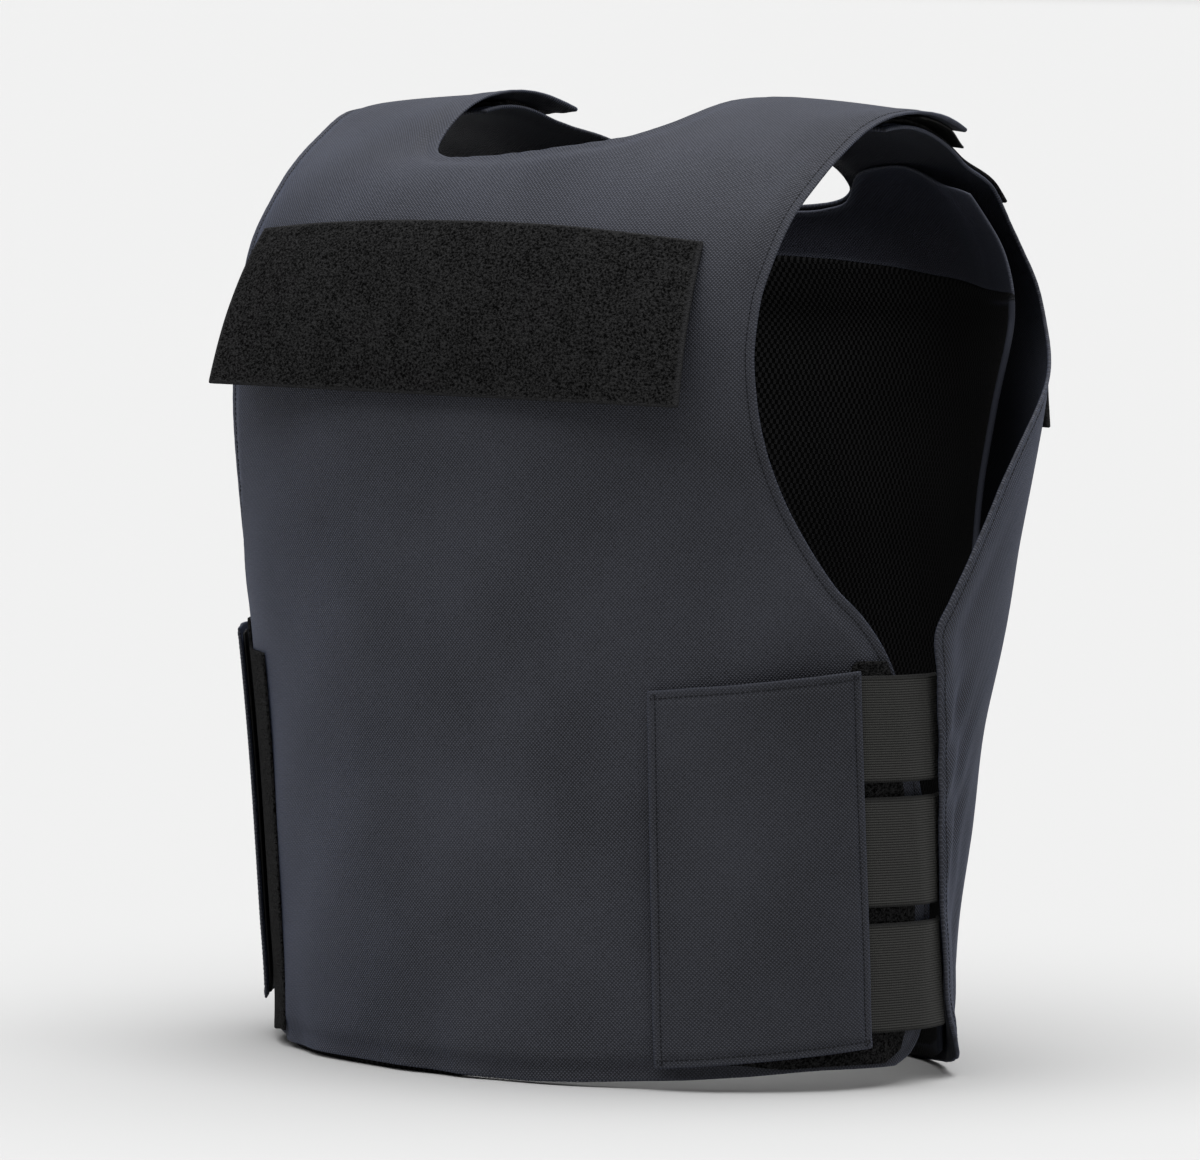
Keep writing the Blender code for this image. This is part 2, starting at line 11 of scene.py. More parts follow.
import bpy
import numpy as np
from mathutils import Matrix, Vector
from mathutils.bvhtree import BVHTree
from mathutils.kdtree import KDTree
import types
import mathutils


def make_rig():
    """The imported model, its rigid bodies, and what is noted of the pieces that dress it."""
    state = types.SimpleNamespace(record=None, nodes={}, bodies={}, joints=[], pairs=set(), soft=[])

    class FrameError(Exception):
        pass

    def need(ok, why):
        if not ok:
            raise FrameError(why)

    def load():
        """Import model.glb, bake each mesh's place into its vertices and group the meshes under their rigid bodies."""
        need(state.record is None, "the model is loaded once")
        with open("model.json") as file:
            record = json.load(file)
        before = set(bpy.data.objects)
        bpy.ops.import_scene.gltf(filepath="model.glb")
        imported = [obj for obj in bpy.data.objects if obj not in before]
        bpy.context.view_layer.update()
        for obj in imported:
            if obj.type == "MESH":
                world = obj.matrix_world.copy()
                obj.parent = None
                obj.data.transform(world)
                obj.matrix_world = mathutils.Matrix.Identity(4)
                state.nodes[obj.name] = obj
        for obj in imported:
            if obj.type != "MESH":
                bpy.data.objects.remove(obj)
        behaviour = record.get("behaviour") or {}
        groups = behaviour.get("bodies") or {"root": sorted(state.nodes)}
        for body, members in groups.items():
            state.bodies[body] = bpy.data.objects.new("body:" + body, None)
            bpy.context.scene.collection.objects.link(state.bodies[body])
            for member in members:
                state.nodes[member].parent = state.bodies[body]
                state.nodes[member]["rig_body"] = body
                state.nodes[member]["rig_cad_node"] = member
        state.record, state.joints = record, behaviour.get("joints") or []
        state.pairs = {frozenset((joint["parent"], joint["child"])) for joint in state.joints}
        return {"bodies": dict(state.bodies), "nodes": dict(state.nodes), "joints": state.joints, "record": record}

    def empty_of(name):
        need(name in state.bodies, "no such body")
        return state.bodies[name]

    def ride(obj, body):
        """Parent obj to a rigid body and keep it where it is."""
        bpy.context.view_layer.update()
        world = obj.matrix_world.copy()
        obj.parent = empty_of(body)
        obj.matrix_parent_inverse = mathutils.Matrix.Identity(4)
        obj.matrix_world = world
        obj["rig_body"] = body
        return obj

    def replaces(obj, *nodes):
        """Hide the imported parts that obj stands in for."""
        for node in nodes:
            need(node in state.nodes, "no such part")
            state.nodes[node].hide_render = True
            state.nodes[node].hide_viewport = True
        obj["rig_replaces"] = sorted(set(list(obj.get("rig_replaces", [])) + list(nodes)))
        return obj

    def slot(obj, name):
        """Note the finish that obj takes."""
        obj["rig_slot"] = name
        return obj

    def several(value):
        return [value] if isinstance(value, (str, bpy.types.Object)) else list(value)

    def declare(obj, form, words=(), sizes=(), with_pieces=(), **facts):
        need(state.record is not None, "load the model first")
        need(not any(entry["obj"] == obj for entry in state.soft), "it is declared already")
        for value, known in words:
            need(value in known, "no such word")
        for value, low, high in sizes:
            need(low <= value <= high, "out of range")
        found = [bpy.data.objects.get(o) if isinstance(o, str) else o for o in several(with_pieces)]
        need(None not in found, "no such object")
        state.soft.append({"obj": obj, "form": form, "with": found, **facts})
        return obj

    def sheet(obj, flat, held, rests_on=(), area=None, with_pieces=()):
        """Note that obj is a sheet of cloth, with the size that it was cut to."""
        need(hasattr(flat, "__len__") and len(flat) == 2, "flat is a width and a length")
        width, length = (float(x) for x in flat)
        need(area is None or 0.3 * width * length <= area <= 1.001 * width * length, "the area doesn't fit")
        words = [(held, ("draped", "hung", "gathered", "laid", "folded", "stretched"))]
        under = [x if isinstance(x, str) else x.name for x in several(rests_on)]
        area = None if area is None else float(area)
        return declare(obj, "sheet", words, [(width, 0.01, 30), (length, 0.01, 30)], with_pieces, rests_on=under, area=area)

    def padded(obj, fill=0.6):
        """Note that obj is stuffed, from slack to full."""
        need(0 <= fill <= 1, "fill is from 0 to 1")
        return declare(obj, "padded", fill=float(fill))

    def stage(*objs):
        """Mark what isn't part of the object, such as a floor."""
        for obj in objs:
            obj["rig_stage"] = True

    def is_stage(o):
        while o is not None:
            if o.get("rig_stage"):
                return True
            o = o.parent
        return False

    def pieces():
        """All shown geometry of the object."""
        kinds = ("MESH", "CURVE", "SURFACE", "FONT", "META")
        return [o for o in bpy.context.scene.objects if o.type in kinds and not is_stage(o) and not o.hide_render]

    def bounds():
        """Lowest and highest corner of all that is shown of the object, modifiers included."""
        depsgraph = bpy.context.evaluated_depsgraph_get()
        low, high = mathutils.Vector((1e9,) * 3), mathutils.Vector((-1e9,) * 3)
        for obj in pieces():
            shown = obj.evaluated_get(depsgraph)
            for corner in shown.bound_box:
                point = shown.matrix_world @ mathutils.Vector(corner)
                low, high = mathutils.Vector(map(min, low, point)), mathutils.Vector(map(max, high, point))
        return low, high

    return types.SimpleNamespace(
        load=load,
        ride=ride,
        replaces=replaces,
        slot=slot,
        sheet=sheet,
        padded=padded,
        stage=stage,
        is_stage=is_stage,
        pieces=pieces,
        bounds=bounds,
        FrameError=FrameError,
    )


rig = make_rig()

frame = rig.load()
CAD_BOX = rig.bounds()

# Camera: the photograph's angle, distance and frame
AZIMUTH, ELEVATION, ROLL = math.radians(36.0), math.radians(3.9), math.radians(1.0)
DISTANCE = 4.5
TARGET = Vector((0.0, -0.0084, 0.2245))
LENS, SENSOR = 285.0, 36.0
FRAME_STEP = (-0.01048, 0.0005)     # from the target to the frame's middle, aside and up

# Form of the vest, from the front hem over the shoulder to the back hem
# columns: depth, height, half width, squareness of the section
FORM = np.array([
    (-0.133, 0.000, 0.174, 2.0), (-0.133, 0.020, 0.174, 2.0), (-0.134, 0.060, 0.178, 2.0),
    (-0.136, 0.150, 0.188, 2.0), (-0.138, 0.245, 0.200, 2.1), (-0.140, 0.310, 0.207, 2.3),
    (-0.135, 0.352, 0.211, 2.4), (-0.120, 0.392, 0.212, 2.5), (-0.091, 0.425, 0.212, 2.5),
    (-0.049, 0.447, 0.212, 2.4), (0.000, 0.4555, 0.212, 2.4), (0.049, 0.447, 0.212, 2.4),
    (0.093, 0.424, 0.214, 2.4), (0.129, 0.393, 0.218, 2.3), (0.150, 0.355, 0.219, 2.2),
    (0.1515, 0.310, 0.2115, 2.1), (0.1445, 0.245, 0.2035, 2.0), (0.127, 0.150, 0.188, 2.0),
    (0.120, 0.060, 0.178, 2.0), (0.119, 0.020, 0.176, 2.0), (0.119, 0.000, 0.176, 2.0),
])
STEPS = np.hypot(np.diff(FORM[:, 0]), np.diff(FORM[:, 1]))
RUN = np.concatenate([[0.0], np.cumsum(STEPS)])
BACK_HEM = RUN[-1]
SHOULDER_TOP = int(FORM[:, 1].argmax())
BODY_MIDDLE = 0.33
SHOULDER_DROP, SHOULDER_LEAN, STRAP_EDGE = 0.008, 0.02, 0.165
ORIGIN = np.array([0.0, 0.0084, 0.0])

# Wall thicknesses
FRONT_THICK, BACK_THICK, LINING_THICK, YOKE_THICK = 0.005, 0.003, 0.003, 0.0014
ID_FLAP_THICK, SIDE_FLAP_THICK, HOOK_THICK, LOOP_THICK = 0.0025, 0.0022, 0.0012, 0.0014
ELASTIC_THICK, PAD_THICK = 0.0016, 0.0016
SEAT, LINING_GAP, SEAM_GAP, FLAT_GAP = 0.0003, 0.0009, 0.0009, 0.0008

# Edges of the panels, one half
# columns: inner path, inner angle, outer path, outer angle
FRONT_ROWS = np.array([
    (0.0025, 0.0, 0.0065, 84.0), (0.0140, 0.0, 0.0125, 89.5), (0.0280, 0.0, 0.0265, 92.5),
    (0.0520, 0.0, 0.0520, 91.8), (0.0790, 0.0, 0.0790, 90.5), (0.1080, 0.0, 0.1080, 87.5),
    (0.1376, 0.0, 0.1376, 83.2), (0.1680, 0.0, 0.1680, 78.0), (0.1991, 0.0, 0.1991, 71.5),
    (0.2194, 0.0, 0.2194, 64.9), (0.2325, 0.0, 0.2325, 59.4), (0.2533, 0.0, 0.2533, 53.4),
    (0.2741, 0.0, 0.2741, 48.9), (0.2970, 0.0, 0.2970, 45.5), (0.3200, 0.0, 0.3200, 43.3),
    (0.3452, 0.0, 0.3452, 41.9), (0.3664, 0.0, 0.3664, 41.6), (0.3865, 0.0, 0.3865, 42.1),
    (0.4110, 0.0, 0.4110, 42.7), (0.4470, 0.0, 0.4380, 43.9), (0.4500, 9.4, 0.4520, 44.3),
    (0.4540, 12.9, 0.4640, 44.6), (0.4640, 16.1, 0.4750, 44.7), (0.4780, 17.8, 0.4870, 44.8),
    (0.4950, 18.6, 0.4990, 45.0), (0.5150, 19.0, 0.5150, 45.3), (0.5360, 19.2, 0.5360, 45.4),
    (0.5580, 19.4, 0.5580, 45.4), (0.5760, 19.6, 0.5760, 45.4), (0.5945, 19.8, 0.5945, 45.4),
])
LINING_ROWS = np.array([
    (0.0000, 0.0, 0.0035, 80.0), (0.0200, 0.0, 0.0200, 88.5), (0.0520, 0.0, 0.0520, 88.5),
    (0.0790, 0.0, 0.0790, 87.0), (0.1080, 0.0, 0.1080, 84.0), (0.1376, 0.0, 0.1376, 79.5),
    (0.1680, 0.0, 0.1680, 74.0), (0.1991, 0.0, 0.1991, 66.5), (0.2194, 0.0, 0.2194, 61.0),
    (0.2325, 0.0, 0.2325, 56.5), (0.2533, 0.0, 0.2533, 51.0), (0.2741, 0.0, 0.2741, 46.9),
    (0.2970, 0.0, 0.2970, 43.8), (0.3200, 0.0, 0.3200, 41.8), (0.3452, 0.0, 0.3452, 40.4),
    (0.3664, 0.0, 0.3664, 40.1), (0.3865, 0.0, 0.3865, 40.6),
])
BACK_ROWS = np.array([
    (1.0840, 0.0, 1.0800, 71.5), (1.0740, 0.0, 1.0755, 75.3), (1.0640, 0.0, 1.0660, 78.3),
    (1.0480, 0.0, 1.0480, 82.8),
    (1.0270, 0.0, 1.0270, 86.0), (1.0007, 0.0, 1.0007, 89.4), (0.9730, 0.0, 0.9730, 92.0),
    (0.9454, 0.0, 0.9454, 94.3), (0.9170, 0.0, 0.9170, 96.8), (0.8892, 0.0, 0.8892, 99.3),
    (0.8700, 0.0, 0.8700, 101.2), (0.8539, 0.0, 0.8539, 98.8), (0.8341, 0.0, 0.8341, 94.1),
    (0.8124, 0.0, 0.8124, 87.5), (0.7930, 0.0, 0.7940, 82.0), (0.7780, 0.0, 0.7780, 76.0),
    (0.7600, 0.0, 0.7650, 69.0), (0.7450, 0.0, 0.7540, 61.5), (0.7300, 0.0, 0.7430, 54.5),
    (0.7140, 0.0, 0.7290, 49.0), (0.6960, 0.0, 0.7100, 45.8), (0.6790, 0.0, 0.6880, 43.0),
    (0.6720, 0.0, 0.6720, 42.2), (0.6690, 8.4, 0.6610, 42.4), (0.6630, 12.4, 0.6530, 42.7),
    (0.6540, 14.4, 0.6450, 42.9), (0.6400, 14.8, 0.6350, 43.2), (0.6220, 15.6, 0.6200, 43.7),
    (0.6060, 17.2, 0.6060, 44.0),
    (0.5920, 19.2, 0.5920, 44.2), (0.5760, 20.0, 0.5760, 44.2), (0.5580, 19.8, 0.5580, 44.2),
    (0.5360, 19.6, 0.5360, 44.2), (0.5150, 19.4, 0.5150, 44.2),
])
# Inner wall of the back: path, outer angle
MESH_ROWS = np.array([
    (1.0825, 68.0), (1.0640, 70.0), (1.0400, 71.0), (1.0100, 71.5), (0.9750, 71.5),
    (0.9400, 71.5), (0.9050, 71.0), (0.8760, 70.5), (0.8500, 69.0), (0.8274, 65.5),
    (0.8060, 64.3), (0.7860, 63.7), (0.7660, 63.2), (0.7470, 62.6), (0.7300, 60.5),
])
YOKE_EDGE = (59.0, 56.5, 53.6, 51.5, 50.5)
# columns: angle, path of the seam, path of the yoke's top edge
YOKE_TOP = np.array([
    (0.0, 0.6985, 0.6730), (8.5, 0.6995, 0.6700), (13.0, 0.7005, 0.6630),
    (17.5, 0.7015, 0.6420), (26.0, 0.7045, 0.6230), (35.5, 0.7065, 0.6150),
    (43.0, 0.7087, 0.6130), (50.5, 0.7112, 0.6185), (59.0, 0.7127, 0.6345),
])
NECK_ROW = {"front": 19, "back": 22}        # last row whose halves meet in the middle

FRONT_HEM = (0.0033, 0.0065)                # path of the hem in the middle and at the sides

# Loop faced panels: half widths at the top and the bottom, depth and height of the bottom, how far
# its ends fall back, how far the top and the bottom sit aside, and the path and bow of the seam
CHEST_FLAP = dict(
    top=0.1282, bottom=0.1335, depth=-0.1470, fall=0.0055, low=0.3175,
    aside=(-0.0076, -0.0030), seam=0.3985, bow=0.0055)
BACK_FLAP = dict(
    top=0.1520, bottom=0.1580, depth=0.1525, fall=0.0270, low=0.3010,
    aside=(0.0, 0.0), seam=0.6990, bow=-0.0030)

# Closures. The left flap's corners: angle, path
LEFT_FLAP = ((31.7, 0.1846), (64.3, 0.1962), (74.4, 0.0205), (36.0, 0.0110))
LEFT_FLAP_LIFT = (0.0050, 0.0079)
LEFT_HOOK_ACROSS, LEFT_HOOK_UP = (0.02, 0.815), (0.02, 0.98)     # shares of the flap with hook
RIGHT_FLAP_DEPTH = (-0.0660, 0.0330)
RIGHT_FLAP_HEIGHT = (0.0195, 0.1950)
RIGHT_FLAP_LIFT = (0.0070, 0.0109)
RIGHT_HOOK_INSET, RIGHT_HOOK_SHARE = 0.0025, 0.25
FLARE = 0.0065
LOOP_FIELD = (46.0, 0.925)      # angle of the front edge, share of the panel's angle at the back
LOOP_FIELD_PATH = (0.0070, 0.1950)

# Elastics, lower and upper edge: height, then the depths of the band's front end, of the flap's
# edge, of the back panel's edge and of the band's back end
ELASTICS = {
    "upper": ((0.1442, -0.063, -0.031, -0.014, -0.002), (0.1925, -0.070, -0.046, -0.026, -0.014)),
    "middle": ((0.0858, -0.056, -0.014, 0.0005, 0.012), (0.1358, -0.061, -0.028, -0.012, 0.000)),
    "lower": ((0.0268, -0.043, -0.008, 0.018, 0.0305), (0.0768, -0.049, -0.011, 0.0035, 0.0145)),
}
RIBS, RIB_DEPTH, BAND_COLUMNS = 42, 0.00035, 25
BAND_LIFT = (0.0052, 0.0026, -0.0026)
RIGHT_BAND_END, RIGHT_BAND_LIFT = -0.0340, 0.0074
STRAP_END_LIFT = 0.0040     # the front strap's end stands off the back strap
STRAP_THIN = 0.0024         # the straps are this much thinner than the front
STRAP_DIP = 0.0065          # the back strap dips this far to lie under the front one
HOOK_PATCH_PATH, HOOK_PATCH_ANGLE = (0.5580, 0.6065), (24.0, 43.4)
LOOP_PAD_PATH, LOOP_PAD_ANGLE = (0.5150, 0.6590), (24.0, 42.6)

# Sewing
SEAM_INSET, FLAP_SEAM_INSET = 0.0034, 0.0030    # from the cloth's edge to the stitches
THREAD_RAISE = 0.0001
BINDING = 0.0042                                # width of the mesh's bound edge

# Where the vest leaves its form: place, reach, move
PULLS = (
    ((-0.165, -0.085, 0.335), 0.080, (-0.0030, -0.0045, 0.0)),
    ((0.165, -0.085, 0.335), 0.080, (0.0030, -0.0045, 0.0)),
    ((-0.055, 0.010, 0.455), 0.065, (0.0, 0.0, 0.0034)),
    ((-0.062, -0.080, 0.438), 0.024, (-0.0035, -0.0010, -0.0060)),
    ((0.047, -0.090, 0.436), 0.038, (0.0, 0.0, 0.0038)),
    ((-0.033, -0.088, 0.437), 0.028, (0.0, 0.0, -0.0030)),
    ((-0.078, 0.045, 0.452), 0.030, (0.0, 0.0, -0.0020)),
    ((0.140, 0.112, 0.408), 0.030, (0.0, 0.0, -0.0026)),
    ((-0.078, 0.105, 0.428), 0.024, (0.0, 0.0, 0.0030)),
    ((-0.080, 0.090, 0.432), 0.040, (0.0, 0.0020, 0.0060)),
    ((-0.150, -0.085, 0.420), 0.060, (0.0060, 0.0030, -0.0012)),
    ((-0.130, 0.110, 0.395), 0.070, (0.0, 0.0020, 0.0)),
    ((0.130, 0.110, 0.395), 0.070, (0.0, 0.0020, 0.0)),
)


# Places on the form

PATH_STEP, ANGLE_STEP = 1e-4, 0.01      # metres and degrees, to find directions on the form


def smooth(table, keys, at):
    """Value of a table at a place between its rows, by a cubic curve."""
    at = np.clip(at, keys[0], keys[-1])
    slopes = np.gradient(table, keys, axis=0)
    k = np.clip(np.searchsorted(keys, at, side="right") - 1, 0, len(keys) - 2)
    wide = (keys[k + 1] - keys[k])[..., None]
    t = (at[..., None] - keys[k][..., None]) / wide
    first = (2 * t**3 - 3 * t**2 + 1) * table[k] + (t**3 - 2 * t**2 + t) * wide * slopes[k]
    last = (3 * t**2 - 2 * t**3) * table[k + 1] + (t**3 - t**2) * wide * slopes[k + 1]
    return first + last


def tame(table, at):
    """Value of a table at a row number, by a curve that never overshoots its rows."""
    rise = np.diff(table, axis=0)
    same = rise[1:] * rise[:-1] > 0
    both = np.where(same, rise[1:] + rise[:-1], 1.0)
    inner = np.where(same, 2 * rise[1:] * rise[:-1] / both, 0.0)
    slopes = np.concatenate([rise[:1], inner, rise[-1:]])
    k = np.clip(np.floor(at).astype(int), 0, len(table) - 2)
    t = (at - k)[:, None]
    first = (2 * t**3 - 3 * t**2 + 1) * table[k] + (t**3 - 2 * t**2 + t) * slopes[k]
    last = (3 * t**2 - 2 * t**3) * table[k + 1] + (t**3 - t**2) * slopes[k + 1]
    return first + last


def ease(t):
    """Smooth step from 0 to 1."""
    t = np.clip(t, 0.0, 1.0)
    return t * t * (3 - 2 * t)


def on_form(path, angle):
    """Place on the form; the angle is in degrees, plus towards the wearer's left."""
    depth, height, half, square = np.moveaxis(smooth(FORM, RUN, path), -1, 0)
    s = np.sin(np.radians(angle))
    c = np.cos(np.radians(angle))
    reach = (np.abs(s) ** square + np.abs(c) ** square) ** (-1 / square)
    x = half * reach * s
    fall = SHOULDER_LEAN * x - SHOULDER_DROP * (x / STRAP_EDGE) ** 2
    height = height + fall * ease((height - 0.36) / 0.09)
    return np.stack([x, depth * reach * c, height], -1)


def place(path, angle, lift):
    """Place lifted off the form along its outward direction."""
    path, angle, lift = np.broadcast_arrays(np.asarray(path, float), angle, lift)
    here = on_form(path, angle)
    along = on_form(path + PATH_STEP, angle) - on_form(path - PATH_STEP, angle)
    inside = (path > PATH_STEP) & (path < BACK_HEM - PATH_STEP)
    upright = np.where(path < RUN[SHOULDER_TOP], 1.0, -1.0)[..., None] * (0.0, 0.0, 1.0)
    along = np.where(inside[..., None], along, upright)
    across = on_form(path, angle + ANGLE_STEP) - on_form(path, angle - ANGLE_STEP)
    out = np.cross(across, along)
    out /= np.linalg.norm(out, axis=-1, keepdims=True)
    core = here * (0, 0, 1.0)
    core[..., 2] = np.minimum(core[..., 2], BODY_MIDDLE)
    turn = np.sign(np.sum(out * (here - core), -1, keepdims=True))
    return here + out * turn * lift[..., None] - ORIGIN


def settle(points):
    """Moves places by the pulls."""
    moved = points.copy()
    for spot, reach, move in PULLS:
        far = np.linalg.norm(points - spot, axis=-1, keepdims=True) / reach
        moved += np.exp(-far**2) * move
    return moved


def path_at(height, side):
    """Place along the run at a height, on the front (-1) or the back (1)."""
    rows = slice(SHOULDER_TOP, None) if side > 0 else slice(0, SHOULDER_TOP + 1)
    order = np.argsort(FORM[rows, 1])
    return np.interp(height, FORM[rows, 1][order], RUN[rows][order])


def angle_at(path, across):
    """Angle on the form at a distance from the middle plane."""
    half, square = np.moveaxis(smooth(FORM, RUN, path), -1, 0)[2:]
    part = (np.abs(across) / half) ** square
    return np.degrees(np.arctan((part / (1 - part)) ** (1 / square))) * np.sign(across)


def at_height(depth, height, lift, side):
    """Place on the side of the form at a given depth and height."""
    depth, height, lift = np.broadcast_arrays(np.asarray(depth, float), height, lift)
    front = smooth(FORM, RUN, path_at(height, -1))
    back = smooth(FORM, RUN, path_at(height, 1))
    mix = ease((depth + 0.02) / 0.04)
    wide = 0.0
    for row, weight in ((front, 1 - mix), (back, mix)):
        share = np.clip(np.abs(depth / row[..., 0]), 0.0, 0.99)
        wide = wide + weight * row[..., 2] * (1 - share ** row[..., 3]) ** (1 / row[..., 3])
    deep = front[..., 0] ** 2 * (1 - mix) + back[..., 0] ** 2 * mix
    half = front[..., 2] * (1 - mix) + back[..., 2] * mix
    out_x, out_y = wide / half**2, depth / deep
    size = np.hypot(out_x, out_y)
    spot = [side * (wide + lift * out_x / size), depth + lift * out_y / size, height]
    return np.stack(spot, -1) - ORIGIN


def back_lift(path, angle):
    """Back panel: its strap dips under the front strap, its side edges flare."""
    dip = -STRAP_DIP * ease((0.648 - path) / 0.038)
    wall = BACK_ROWS[::-1]
    edge = np.interp(path, wall[:, 2], wall[:, 3])
    flare = FLARE * ease((np.abs(angle) - edge + 10.0) / 9.0)
    return dip + flare * ease((path - 0.800) / 0.060)


def strap_lift(path):
    """Front strap: its end stands off the back strap."""
    return STRAP_END_LIFT * ease((path - 0.525) / 0.075)


def liner_lift(path, angle):
    """Inner wall of the back: it stands off the outer wall towards the top."""
    share = ease((1.075 - path) / 0.22)
    side = ease(np.abs(angle) / 55.0) * ease((0.90 - path) / 0.10)
    free = -0.0040 - 0.0096 * share - 0.0080 * side
    sewn = ease((44.0 - np.abs(angle)) / 16.0) * ease((0.722 - path) / 0.046)
    return free * (1 - sewn) + (back_lift(path, angle) - BACK_THICK - 0.0006) * sewn


def left_flap_lift(angle):
    """Side flap: low at its front edge, higher over the loop field."""
    low, high = LEFT_FLAP_LIFT
    return low + (high - low) * ease((angle - 36.0) / 9.0)


def right_flap_lift(depth):
    """Side flap on the wearer's right: higher over the bands and the back panel."""
    low, high = RIGHT_FLAP_LIFT
    return low + (high - low) * ease((depth + 0.058) / 0.026)


# Closed cloth walls

FINE = 0.0027               # spacing of the grid that a wall is drawn on
EDGE_ROWS = 0.0011          # spacing next to an end row
RIM_STEPS = 4               # facets round a rolled edge
PANEL_COLUMNS = 66          # points across half a panel
PATTERN_STEPS = 61          # steps that a row is measured in
SAME_SPOT = 2e-6            # points nearer than this are one


def spread(count, ends=0.35):
    """Shares from 0 to 1, closer together at both ends."""
    t = np.linspace(0.0, 1.0, count)
    return ends * t + (1 - ends) * (0.5 - 0.5 * np.cos(np.pi * t))


def span(ends, share):
    """Values at shares of the way between two ends."""
    return ends[0] + (ends[1] - ends[0]) * share


def row_numbers(lengths, fine=FINE):
    """Row numbers between the rows of a table, close together at both ends."""
    found = []
    for k, length in enumerate(lengths):
        step = EDGE_ROWS if k in (0, len(lengths) - 1) else fine
        count = max(2, int(round(abs(length) / step)))
        found.append(k + np.linspace(0.0, 1.0, count, endpoint=False))
    return np.concatenate(found + [[len(lengths)]])


def panel_halves(table, neck, columns):
    """Paths and angles of the two halves of a panel, and the rows where they meet."""
    steps = np.abs(np.diff(table, axis=0))
    numbers = row_numbers(np.maximum(np.maximum(steps[:, 0], steps[:, 2]), steps[:, 1] * 0.0025))
    edge = tame(table, numbers)
    edge[numbers <= neck, 1] = 0.0
    start = (numbers > neck) & (numbers < neck + 1)
    t = numbers[start] - neck
    edge[start, 0] = table[neck, 0] + (table[neck + 1, 0] - table[neck, 0]) * t**2
    edge[start, 1] = table[neck + 1, 1] * t
    share = spread(columns)
    path = edge[:, 0:1] + (edge[:, 2:3] - edge[:, 0:1]) * share
    angle = edge[:, 1:2] + (edge[:, 3:4] - edge[:, 1:2]) * share
    return path, angle


def pattern(path, angle):
    """Flat place of each point: distance from the middle along its row, and path."""
    steps = np.linspace(0.0, 1.0, PATTERN_STEPS)[:, None, None]
    line = on_form(np.broadcast_to(path, (PATTERN_STEPS,) + path.shape), angle * steps)
    across = np.linalg.norm(np.diff(line, axis=0), axis=-1).sum(0) * np.sign(angle)
    return np.stack([across, path], -1)


def both_halves(path, angle, lift, fit=None):
    """Wall of a panel drawn on both halves of the form, with its paths fitted to its hem."""
    grids, flats = [], []
    for side in (1, -1):
        p, a = path[:, ::side], side * angle[:, ::side]
        if fit:
            p = fit(p, a[0])
        grids.append(place(p, a, lift(p, a)))
        flats.append(pattern(p, a))
    return Wall(grids, flats)


def on_run(path, angle, lift):
    """Wall of one grid drawn by path and angle."""
    return Wall([place(path, angle, lift)], [pattern(path, angle)])


def on_side(depth, height, lift, side):
    """Wall of one grid drawn by depth and height on the vest's side."""
    grid = at_height(depth, height, lift, side)
    return Wall([grid], [unrolled(grid)])


def unrolled(grid):
    """Flat place of each point of a grid on the vest's side: along its row, and height."""
    steps = np.linalg.norm(np.diff(grid, axis=1), axis=-1)
    across = np.concatenate([np.zeros((len(grid), 1)), np.cumsum(steps, axis=1)], axis=1)
    return np.stack([across, grid[..., 2]], -1)


